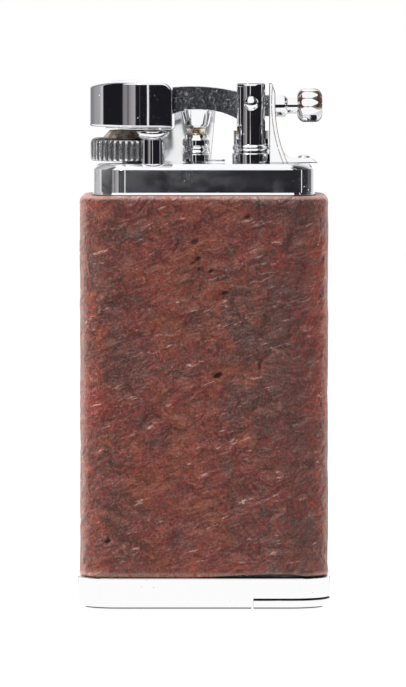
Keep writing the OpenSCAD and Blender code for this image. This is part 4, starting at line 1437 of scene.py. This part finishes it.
@dataclass
class Base:
    """The chromed base with the recesses under it, and the tamper's head that is parted from it."""

    plan: Plan = BASE_PLAN
    height: float = 4.4
    bottom_round: float = 2.0
    flare: float = 0.2
    head_x: float = 6.35
    head_low: float = 0.05
    head_high: float = 1.45
    gap: float = 0.28
    lip: float = 0.5
    half_lip: float = 2.5
    # Place in x and y, radius and height of the holes for the flint's screw, the filler and the tamper's rod
    holes: tuple[tuple[float, float, float, float], ...] = (
        (-8.729, -2.264, 2.55, 1.6),
        (-0.8, 0.0, 3.0, 1.4),
        (11.1, 0.0, 1.25, 4.0),
    )

    def _form(self) -> Blank:
        """The whole base, before the tamper's head is parted from it.

        Returns:
            The base.
        """
        bend = arc(self.bottom_round, self.bottom_round, self.bottom_round, 270, 180, 10)
        levels = [*bend, (0.0, self.height - 0.14), (0.03, self.height - 0.06), (self.flare, self.height)]
        return Blank.block(self.plan, levels)

    def build(self, chrome: Material, dull: Material) -> None:
        """Make the base plate and the tamper's head.

        Args:
            chrome: the finish of plated metal.
            dull: the finish of unplated metal.
        """
        wide, deep = self.plan.width, self.plan.depth
        notch = Blank.box((self.head_x - self.gap / 2, -deep, -1), (wide, deep, self.head_high + self.gap))
        holes = [Blank.rod(radius, -1, high).moved(x, y) for x, y, radius, high in self.holes]
        plate = self._form().carved(notch, *holes)
        self._dull(plate.piece("base_plate", chrome, slot="base_chrome"), dull)
        head = self._form()
        head.cut_away((self.head_x + self.gap / 2, 0, 0), (-1, 0, 0))
        head.cut_away((0, 0, self.head_high), (0, 0, 1)).cut_away((0, 0, self.head_low), (0, 0, -1))
        head.softened(0.05, 2, 50)
        lip_low = (wide / 2 - self.lip, -self.half_lip, self.head_high - self.lip)
        head.joined(Blank.box(lip_low, (wide / 2, self.half_lip, self.head_high)).softened(0.06))
        self._dull(head.piece("tamper_head", chrome, Body.TAMPER, "base_chrome"), dull)

    def _dull(self, made: bpy.types.Object, dull: Material) -> None:
        """Leave the two faces inside the seam unplated.

        Args:
            made: the object of the base or the tamper's head.
            dull: the finish of unplated metal.
        """
        made.data.materials.append(dull)
        for face in made.data.polygons:
            height = face.center.z / MM
            if abs(face.normal.z) > 0.9 and self.head_high - 0.05 < height < self.head_high + self.gap + 0.05:
                face.material_index = 1


@dataclass
class HeadPlate:
    """The chromed block under the open head, with a sloped rim at its foot and a chamfer at its top."""

    plan: Plan = Plan(29.0, 15.2, 4.3)
    low: float = 54.6
    rim: float = 0.12
    rim_height: float = 0.35
    bevel: float = 0.75

    def build(self, chrome: Material) -> None:
        """Make the plate.

        Args:
            chrome: the finish of plated metal.
        """
        rim, top, step = self.rim, DECK - self.bevel, self.low + self.rim_height
        levels = [(-rim + 0.04, self.low), (-rim, self.low + 0.05), (-0.01, step - 0.02), (0.0, step)]
        levels += [(0.0, top - 0.03), (0.02, top + 0.03)]
        levels += [(self.bevel - 0.03, DECK - 0.02), (self.bevel + 0.02, DECK)]
        Blank.block(self.plan, levels).piece("head_plate", chrome)


@dataclass
class WheelSet:
    """The grooved thumb wheel, the striker inside it and the axle that they turn on."""

    x: float = -10.2
    radius: float = 4.75
    low: float = 58.95
    high: float = 61.95
    top_round: float = 0.7
    low_round: float = 0.3
    grooves: int = 38
    groove_radius: float = 0.26
    groove_out: float = 0.078
    per_groove: int = 14
    striker_radius: float = 3.95
    cone: Spot = (3.1, 2.25, 62.95)
    teeth: int = 36
    axle_radius: float = 0.65
    axle_head: float = 1.1
    axle_top: float = 63.0

    def build(self, wheel: Material, striker: Material, chrome: Material) -> None:
        """Make the three pieces.

        Args:
            wheel: the thumb wheel's finish.
            striker: the striker's finish.
            chrome: the finish of plated metal.
        """
        self._wheel().moved(self.x).piece("thumb_wheel", wheel, Body.WHEEL, "wheel_chrome", crisp=40)
        inner = self.axle_radius + 0.05
        cone_low, cone_high, top = self.cone
        edge = self.striker_radius
        profile = [(inner, self.low), (edge, self.low), (edge, self.high - 0.06), (edge - 0.06, self.high)]
        profile += [(cone_low + 0.1, self.high), (cone_low, self.high + 0.05), (cone_high + 0.05, top - 0.06)]
        profile += [(cone_high - 0.02, top), (inner + 0.05, top), (inner, top - 0.05)]
        ring = Blank.turned(profile, 144, closed=True)
        self._notch(ring)
        ring.moved(self.x).piece("striker", striker, Body.WHEEL, "striker_steel")
        pin, head, low = self.axle_radius, self.axle_head, self.axle_top
        axle = [(0, SOCKET), (pin, SOCKET), (pin, low), (head, low), (head, low + 0.05)]
        axle += [(head - 0.04, low + 0.07), (0.3, low + 0.075), (0, low + 0.07)]
        Blank.turned(axle, 64).moved(self.x).piece("wheel_axle", chrome)

    def _wheel(self) -> Blank:
        """A ring whose outside is pressed in at each groove.

        Returns:
            The thumb wheel.
        """
        inner = self.striker_radius + 0.005
        outside = arc(self.radius - self.top_round, self.high - self.top_round, self.top_round, 0, 90, 8)
        foot = arc(self.radius - self.low_round, self.low + self.low_round, self.low_round, 270, 360, 4)
        middle = [(self.radius, self.low + self.low_round + step * 0.5) for step in range(1, 4)]
        profile = [(inner, self.low), *foot, *middle, *outside, (inner, self.high)]
        centre, size = self.radius + self.groove_out, self.groove_radius
        pitch = math.tau / self.grooves

        def limit(reach: float, turn: float, _: float) -> float:
            """How far out a point may lie.

            Args:
                reach: how far out the point lies now.
                turn: its angle round the axis, in radians.
                _: its height, which makes no difference here.

            Returns:
                How far out it may lie.
            """
            off = (turn + pitch / 2) % pitch - pitch / 2
            side = centre * math.sin(off)
            return reach if abs(side) >= size else centre * math.cos(off) - math.sqrt(size**2 - side**2)

        return Blank.turned(profile, self.grooves * self.per_groove, closed=True).pressed(limit)

    def _notch(self, ring: Blank) -> None:
        """Press teeth into the striker's cone.

        Args:
            ring: the striker's shape.
        """
        for point in ring.bm.verts:
            turn = math.atan2(point.co.y, point.co.x)
            reach = math.hypot(point.co.x, point.co.y)
            if self.cone[1] - 0.1 < reach < self.cone[0] + 0.05 and point.co.z > self.high:
                point.co.z -= 0.05 * max(0.0, math.cos(self.teeth * turn))


@dataclass
class Burner:
    """The smooth pillar in front of the wheel and the flared cup on it."""

    at: Point = (-6.694, -5.396)
    radius: float = 1.5
    core: float = 0.95
    shoulder: float = 61.9
    cup_radius: float = 2.18
    cup_high: float = 62.95

    def build(self, chrome: Material) -> None:
        """Make the pillar and the cup.

        Args:
            chrome: the finish of plated metal.
        """
        top = self.shoulder
        core, radius = self.core, self.radius
        pillar = [(0, SOCKET), (core, SOCKET), (core, DECK), (radius, DECK), (radius, top - 0.03)]
        pillar += [(radius - 0.03, top), (core, top), (core, top + 0.96), (core - 0.05, top + 1.0)]
        pillar += [(0.6, top + 1.0), (0.6, top + 0.5), (0, top + 0.5)]
        Blank.turned(pillar).moved(*self.at).piece("burner_pillar", chrome)
        high, rim = self.cup_high, self.cup_radius
        cup = [(1.0, top), (1.3, top), *arc(rim - 0.96, top + 0.98, 0.96, 275, 345, 14)]
        cup += [(rim - 0.01, high - 0.07), (rim - 0.04, high - 0.01), (rim - 0.1, high)]
        cup += [(rim - 0.2, high - 0.02), *reversed(arc(rim - 0.96, top + 1.06, 0.8, 285, 345, 10))]
        cup += [(1.0, top + 0.36)]
        Blank.turned(cup, closed=True).moved(*self.at).piece("burner_cup", chrome)


@dataclass
class WindGuard:
    """The pressed plate behind the burner and the valve, leaning back a little."""

    left: float = -8.4
    right: float = 1.6
    step: float = -3.91
    slant: float = 0.7
    lean: float = 8.0
    front: float = 5.1
    thick: float = 0.5
    foot_inset: float = 0.3
    step_round: float = 0.35
    low_top: float = 62.95
    high: float = 7.2

    def build(self, chrome: Material) -> None:
        """Make the plate with its foot.

        Args:
            chrome: the finish of plated metal.
        """
        slope = math.cos(math.radians(self.lean))
        low, high = (self.low_top - DECK) / slope, self.high / slope
        corner = arc(self.step - self.step_round, low + self.step_round, self.step_round, -90, 0, 5)
        end = self.right - self.slant
        outline = [(self.left, -0.5), (end, -0.5), (end, 0), (self.right, high), (self.step, high)]
        outline += [*reversed(corner), (self.left, low)]
        plate = Blank.prism(outline, 0, self.thick, Axis.Y).softened(0.1, 3, 40)
        plate.turned_by(-self.lean, Axis.X).moved(0, self.front, DECK).cut_away((0, 0, DECK), (0, 0, -1))
        inset = self.foot_inset
        foot_low = (self.left + inset, self.front + inset, DECK)
        foot = Blank.box(foot_low, (end - inset, self.front + 2 * self.thick, DECK + self.thick))
        plate.joined(foot.softened(0.08))
        plate.piece("wind_guard", chrome)


@dataclass
class GasValve:
    """The ringed column that lets the gas through, and the ring that sets the flame."""

    x: float = -1.0
    ring: float = 1.825
    waist: float = 1.5
    core: float = 1.35
    thread_low: float = 52.4
    adjuster: Point = (58.8, 59.8)
    seat: float = 59.9
    waist_z: float = 60.42
    collar: Point = (60.94, 61.62)
    shoulder: float = 62.36
    lug_turn: float = -12.0
    stem_radius: float = 0.6
    stem_flange: Point = (60.15, 60.55)
    stem_ends: Point = (52.6, 62.98)

    def build(self, chrome: Material, brass: Material, steel: Material) -> None:
        """Make the body, the adjuster, the brass ring and the stem.

        Args:
            chrome: the finish of plated metal.
            brass: the brass ring's finish.
            steel: the finish of steel.
        """
        soft, ring, top, seat = 0.08, self.ring, self.shoulder, self.seat
        body = [(0, self.thread_low), (self.core, self.thread_low), (self.core, seat), (ring - 0.14, seat)]
        body += [(ring - soft, seat + 0.05), *arc(self.waist + 0.58, self.waist_z, 0.58, 232, 128, 20)]
        low, high = self.collar
        body += [(ring, low), (ring, high), (ring - 0.06, high + 0.08), (ring - 0.3, high + 0.33)]
        body += [(1.46, top - 0.06), (1.3, top), (0.65, top), (0.65, top - 0.16), (0, top - 0.16)]
        Blank.turned(body).moved(self.x).piece("valve_body", chrome)
        hole, (low, high) = self.core + 0.05, self.adjuster
        rounds = [(ring - soft, low), (ring, low + soft), (ring, high - soft), (ring - soft, high)]
        adjuster = Blank.turned([(hole, low), *rounds, (hole, high)], closed=True)
        tip = arc(ring + 1.5, 0, 0.55, -90, 90, 12)
        lug = Blank.prism([(ring - 0.1, -0.55), *tip, (ring - 0.1, 0.55)], low, low + 0.35, Axis.Z)
        adjuster.joined(lug.softened(0.06)).turned_by(self.lug_turn, Axis.Z).moved(self.x)
        adjuster.piece("flame_adjuster", chrome, Body.ADJUSTER)
        washer = [(0.68, top), (1.36, top), (1.4, top + 0.04)]
        washer += [(1.4, top + 0.14), (1.36, top + 0.18), (0.68, top + 0.18)]
        Blank.turned(washer, closed=True).moved(self.x).piece("valve_ring", brass, slot="brass")
        radius, flange = self.stem_radius, self.stem_radius + 0.35
        (low, high), (start, end) = self.stem_flange, self.stem_ends
        stem = [(0, start), (radius, start), (radius, low), (flange, low), (flange, high), (radius, high)]
        stem += [(radius, end - soft), (radius - soft, end), (0, end)]
        Blank.turned(stem, 64).moved(self.x).piece("valve_stem", steel, Body.GAS_STEM, "spring_steel")


@dataclass
class Pivot:
    """The slotted post with its pin, and the bracket and screw beside it."""

    x: float = PIVOT[0]
    z: float = PIVOT[1]
    top: float = 69.05
    radius: float = 2.3
    foot_radius: float = 2.5
    slot: float = 2.7
    slot_low: float = 62.9
    pin_radius: float = 0.6
    pin_head: float = 0.975
    pin_rim: float = 0.2
    pin_rise: float = 0.55
    spot: float = 2.05
    bracket_left: float = 8.6
    bracket_edge: float = 9.4
    bracket_top: float = 69.1
    bracket_end: float = 15.05
    sweep: float = 20.0
    fillet: float = 1.6
    foot_top: float = 59.4
    foot_slope: float = 0.9
    half_foot: float = 3.3
    half_top: float = 1.95
    half_slot: float = 1.55
    slot_floor: float = 61.8
    screw_x: float = 13.2

    def build(self, chrome: Material) -> None:
        """Make the four pieces.

        Args:
            chrome: the finish of plated metal.
        """
        self._post().piece("pivot_post", chrome)
        rise, rim, radius = self.pin_rise, self.pin_rim, self.pin_radius
        dome = (self.pin_head**2 + rise**2) / (2 * rise)
        start = math.degrees(math.asin(self.pin_head / dome))
        crown = arc(0, rim + rise - dome, dome, 90 - start, 90, 10)
        half = [(0, 0), (radius, 0), (radius, self.spot), (self.pin_head, self.spot)]
        half += [(r, self.spot + h) for r, h in crown]
        pin = Blank.turned(half, 72)
        pin.joined(Blank.turned(half, 72).turned_by(180, Axis.X)).laid(Axis.Y).moved(self.x, 0, self.z)
        pin.piece("pivot_pin", chrome)
        lined = LinedChrome("lined_chrome", x=self.bracket_edge + self.sweep, z=self.z, sweep=self.sweep)
        self._bracket().piece("side_bracket", lined.material())
        top = self.foot_top
        screw = [(0, SOCKET), (0.5, SOCKET), (0.5, top), (0.85, top), (0.84, top + 0.04)]
        screw += [(0.72, top + 0.16), (0.5, top + 0.24), (0, top + 0.28)]
        nick = Blank.box((-2, -0.15, top + 0.14), (2, 0.15, top + 1))
        fixing = Blank.turned(screw, 48).carved(nick).moved(self.screw_x)
        fixing.piece("bracket_screw", chrome, slot="spring_steel")

    def _post(self) -> Blank:
        """A turned post with a foot and a bead, slotted for the arm and spot faced for the pin's heads.

        Returns:
            The post.
        """
        foot, bead, top = DECK + 1.25, DECK + 1.95, self.top
        low, radius = self.foot_radius, self.radius
        profile = [(0, SOCKET), (1.5, SOCKET), (1.5, DECK), (low, DECK), (low, foot - 0.15)]
        profile += [*arc(low - 0.15, foot - 0.15, 0.15, 20, 90, 4), (radius, foot), (radius, foot + 0.12)]
        profile += [*arc(radius + 0.15 - 0.55, bead, 0.55, -44, 44, 12), (radius, bead + 0.43)]
        profile += [(radius, top - 0.35), *arc(radius - 0.12, top - 0.12, 0.12, 10, 90, 4), (0, top)]
        slot = Blank.box((-5, -self.slot / 2, self.slot_low), (5, self.slot / 2, top + 5))
        spots = [
            Blank.rod(self.pin_head + 0.05, low, low + 3).laid(Axis.Y).moved(0, 0, self.z)
            for low in (self.spot, -self.spot - 3)
        ]
        return Blank.turned(profile, 128).carved(slot, *spots).moved(self.x)

    def _bracket(self) -> Blank:
        """A cast bracket whose edge sweeps down to its foot; it is thicker at the foot.

        Returns:
            The bracket.
        """
        sweep_x = self.bracket_edge + self.sweep
        fillet_z = self.foot_top + self.fillet
        fillet_x = sweep_x - math.sqrt((self.sweep - self.fillet) ** 2 - (self.z - fillet_z) ** 2)
        touch = math.degrees(math.atan2(fillet_z - self.z, fillet_x - sweep_x)) % 360
        outline = [(self.bracket_left, DECK), (self.bracket_end, DECK)]
        outline += [(self.bracket_end - self.foot_slope, self.foot_top)]
        outline += arc(fillet_x, fillet_z, self.fillet, 270, touch, 10)
        outline += arc(sweep_x, self.z, self.sweep, touch, 180, 24)
        outline += [(self.bracket_edge, 67.9), (self.bracket_edge - 0.42, self.bracket_top)]
        outline += [(self.bracket_left, self.bracket_top)]
        blank = Blank.prism(outline, -self.half_foot, self.half_foot, Axis.Y)
        for point in blank.bm.verts:
            share = (point.co.z - DECK) / (self.bracket_top - DECK)
            point.co.y *= 1 + (self.half_top / self.half_foot - 1) * share
        slot_high = (self.x + 4.6, self.half_slot, self.bracket_top + 5)
        slot = Blank.box((self.x, -self.half_slot, self.slot_floor), slot_high)
        seat = Blank.rod(self.foot_radius + 0.1, DECK - 1, DECK + 2.35).moved(self.x)
        hole = Blank.rod(0.55, DECK - 1, self.foot_top + 1).moved(self.screw_x)
        return blank.softened(0.14, 3, 40).carved(slot, seat, hole)


@dataclass
class Lever:
    """Everything that lifts with the arm: the arm, cap, pad, button, shaft and knob."""

    pivot: Point = PIVOT
    thick: float = 2.6
    hollow_at: Point = (-0.6, 55.3)
    hollow_radius: float = 10.4
    crown_at: Point = (-1.6, 42.75)
    crown_radius: float = 26.0
    eye_radius: float = 1.75
    bore: float = 0.65
    tail_right: float = 8.6
    cap_left: float = -15.06
    cap_right: float = -4.16
    cap_low: float = 63.5
    cap_high: float = 69.4
    cap_slope_x: float = -11.0
    cap_slope: float = 0.04
    cap_half: float = 7.6
    cap_stretch: float = 1.06
    cap_round: float = 1.4
    cap_bevel: float = 0.32
    pad_inset: Spot = (2.06, 0.5, 0.14)
    pad_thick: float = 0.3
    button_x: float = -1.0
    button_radius: float = 2.17
    button_z: float = 65.25
    button_cut: float = 0.47
    half_saddle: float = 1.35
    shaft_x: float = 8.6
    shaft_z: float = 66.2
    knob_x: float = 12.3
    knob_radius: float = 2.25
    knob_length: float = 3.3
    facets: int = 12
    facet_out: float = 2.127
    facet_turn: float = 3.0
    crown: float = 0.19
    # Nothing is pressed in nearer to the knob's axis than this
    end_face: float = 1.2

    def build(self, chrome: Material, cap: Material, satin: Material) -> None:
        """Make the six pieces.

        Args:
            chrome: the finish of plated metal.
            cap: the cap's finish.
            satin: the finish of satin metal.
        """
        self._arm().piece("lift_arm", satin, Body.LEVER, "arm_steel")
        self._cap().piece("snuffer_cap", cap, Body.LEVER)
        pad = Blank.prism(self._plan(*self.pad_inset), self.cap_low - self.pad_thick, self.cap_low, Axis.Z)
        pad.softened(0.06).piece("snuffer_pad", chrome, Body.LEVER)
        self._button().piece("valve_button", chrome, Body.LEVER)
        self._shaft().piece("lever_shaft", chrome, Body.LEVER)
        place = {"x": self.knob_x + self.knob_length / 2, "z": self.shaft_z, "turn": self.facet_turn}
        tarnished = TarnishedChrome("tarnished_chrome", pitch=360 / self.facets, **place)
        self._knob().piece("finger_knob", tarnished.material(), Body.LEVER, crisp=24)

    def _arm(self) -> Blank:
        """An arched bar with an eye at the pivot and a short tail.

        Returns:
            The arm.
        """
        x, z = self.pivot
        start = math.degrees(math.acos((self.cap_right - self.hollow_at[0]) / self.hollow_radius))
        hollow = arc(*self.hollow_at, self.hollow_radius, start, 60.95, 40)
        eye = arc(x, z, self.eye_radius, 38.9, 129.5, 14)
        crown = arc(*self.crown_at, self.crown_radius, 75.35, 95.65, 40)
        tail = [(4.45, 64.88), (7.95, 64.88), (7.95, 64.8), (self.tail_right, 64.8), (self.tail_right, 67.6)]
        outline = [*hollow, *tail, *eye, *crown]
        bar = Blank.prism(outline, -self.thick / 2, self.thick / 2, Axis.Y).softened(0.14, 3, 40)
        return bar.carved(Blank.rod(self.bore, -5, 5, 48).laid(Axis.Y).moved(x, 0, z))

    def _plan(self, left: float, side: float, right: float) -> list[Point]:
        """The cap's outline from above, with an inset at the left, the sides and the right.

        Args:
            left: the inset at the left end.
            side: the inset at the sides.
            right: the inset at the right end.

        Returns:
            The outline's points.
        """
        half = self.cap_half - side
        middle = self.cap_left + left + half * self.cap_stretch
        round_end = [(middle + x * self.cap_stretch, y) for x, y in arc(0, 0, half, 90, 270, 72)]
        return [(self.cap_right - right, -half), (self.cap_right - right, half), *round_end]

    def _cap(self) -> Blank:
        """A block with a round left end; its right top edge is rounded the most.

        Returns:
            The cap.
        """
        blank = Blank.prism(self._plan(0, 0, 0), self.cap_low, self.cap_high, Axis.Z)

        def at_end(edge: bmesh.types.BMEdge, height: float) -> bool:
            """Whether an edge runs along the right end at a height."""
            ends = [end.co for end in edge.verts]
            return all(abs(end.z - height) < 1e-3 and abs(end.x - self.cap_right) < 1e-3 for end in ends)

        blank.bevelled([edge for edge in blank.bm.edges if at_end(edge, self.cap_high)], self.cap_round, 14)
        sharp = [edge for edge in blank.bm.edges if edge.calc_face_angle(0) > math.radians(40)]
        sides = [edge for edge in sharp if not at_end(edge, self.cap_low)]
        blank.bevelled(sides, self.cap_bevel, 4).healed()
        for point in blank.bm.verts:
            share = (point.co.z - self.cap_low) / (self.cap_high - self.cap_low)
            point.co.z -= self.cap_slope * max(0.0, self.cap_slope_x - point.co.x) ** 2 * share
        return blank

    def _button(self) -> Blank:
        """A flattened bowl with a cut top, and a saddle in it for the arm.

        Returns:
            The button.
        """
        radius, z = self.button_radius, self.button_z
        low, top = z - radius, z + self.button_cut
        profile = [(0, low - 0.05), (0.5, low - 0.045), *arc(0.85, low + 0.88, 0.9, -90, -12.5, 16)]
        profile += [(radius - 0.04, top - 0.11), (radius - 0.02, top - 0.05), (radius - 0.07, top), (0, top)]
        saddle = Blank.box((-5, -self.half_saddle, z + 0.1), (5, self.half_saddle, z + 5))
        return Blank.turned(profile).carved(saddle).moved(self.button_x)

    def _shaft(self) -> Blank:
        """A shaft with a tapered shoulder and a thinner neck.

        Returns:
            The shaft.
        """
        profile = [(0, 0), (1.28, 0), (1.32, 0.04), (1.32, 0.5), (1.36, 0.6), (1.45, 0.66), (1.45, 2.02)]
        profile += [(1.42, 2.08), (1.09, 2.36), (1.05, 2.42), (1.05, 3.7), (0.6, 3.7), (0.6, 5.1), (0, 5.1)]
        return Blank.turned(profile, 72).laid(Axis.X).moved(self.shaft_x, 0, self.shaft_z)

    def _knob(self) -> Blank:
        """A barrel with flats along its side, each shaped like a lens.

        Returns:
            The knob.
        """
        radius, length, soft = self.knob_radius, self.knob_length, 0.9
        side = [(radius, soft + step * (length - 2 * soft) / 24) for step in range(1, 24)]
        profile = [(0, 0), *arc(radius - soft, soft, soft, 270, 360, 12), *side]
        profile += [*arc(radius - soft, length - soft, soft, 0, 90, 12), (0, length)]
        pitch = math.tau / self.facets

        def limit(reach: float, turn: float, height: float) -> float:
            """How far out a point may lie.

            Args:
                reach: how far out the point lies now.
                turn: its angle round the axis, in radians.
                height: its height.

            Returns:
                How far out it may lie.
            """
            barrel = reach - self.crown * (2 * height / length - 1) ** 2
            flat = self.facet_out / math.cos(turn % pitch - pitch / 2)
            return reach if reach < self.end_face else min(barrel, flat)

        barrel = Blank.turned(profile, self.facets * 24).pressed(limit)
        return barrel.laid(Axis.X).turned_by(self.facet_turn, Axis.X).moved(self.knob_x, 0, self.shaft_z)


def finish_inside(material: Material, *nodes: str) -> None:
    """Give nodes a finish: tank, gasket, flint feed, tamper rod, filler and springs keep their CAD meshes.

    Args:
        material: the finish.
        nodes: names of the pieces.
    """
    for name in nodes:
        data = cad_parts[name].data
        data.materials.clear()
        data.materials.append(material)
        log.info("%s: keeps its mesh, finished as %s", name, material.name)


def main() -> None:
    """Build the camera, the studio and each sub-assembly."""
    logging.basicConfig(level=logging.INFO, format="%(message)s")
    bpy.context.scene.view_settings.view_transform = "Standard"
    studio = Studio()
    studio.camera()
    studio.surroundings()
    studio.lamps()
    studio.floor()

    chrome = PolishedChrome().material()
    plate = PolishedChrome("head_plate_chrome", tint=(0.94, 0.95, 0.98), haze_and_light_strength=0.085, dust=0.9).material()
    pale = PolishedChrome("pale_nickel", tint=(1.0, 1.0, 1.0), roughness=0.1, metal=0.85, dust=0.0).material()
    base = PolishedChrome("base_chrome", tint=(0.97, 0.97, 0.975), dust=0.3).material()
    cap = PolishedChrome("cap_chrome", tint=(0.9, 0.9, 0.93), dust=0.7).material()
    satin = SatinSteel().material()
    striker = StrikerSteel().material()
    wheel = KnurledChrome(x=WheelSet.x).material()
    brass = TurnedBrass().material()
    rubber = BlackRubber().material()
    spring = DrawnMetal("spring_wire", roughness=0.2).material()
    tank = DrawnMetal("tank_metal", tint=(0.74, 0.75, 0.77)).material()

    WoodSleeve().build(RusticatedWood().material())
    Base().build(base, FlintMetal("unplated_metal").material())
    HeadPlate().build(plate)
    WheelSet().build(wheel, striker, chrome)
    Burner().build(chrome)
    WindGuard().build(pale)
    GasValve().build(chrome, brass, spring)
    Pivot().build(chrome)
    Lever().build(chrome, cap, satin)
    finish_inside(tank, "fuel_tank")
    finish_inside(chrome, "tamper_rod")
    finish_inside(rubber, "head_gasket", "tamper_ring", "filler_ring")
    finish_inside(spring, "valve_spring", "flint_spring")
    finish_inside(brass, "flint_tube", "flint_pusher", "flint_screw")
    finish_inside(brass, "tamper_tube", "filler_body", "filler_stem")
    finish_inside(FlintMetal().material(), "flint")


if __name__ == "__main__":
    main()
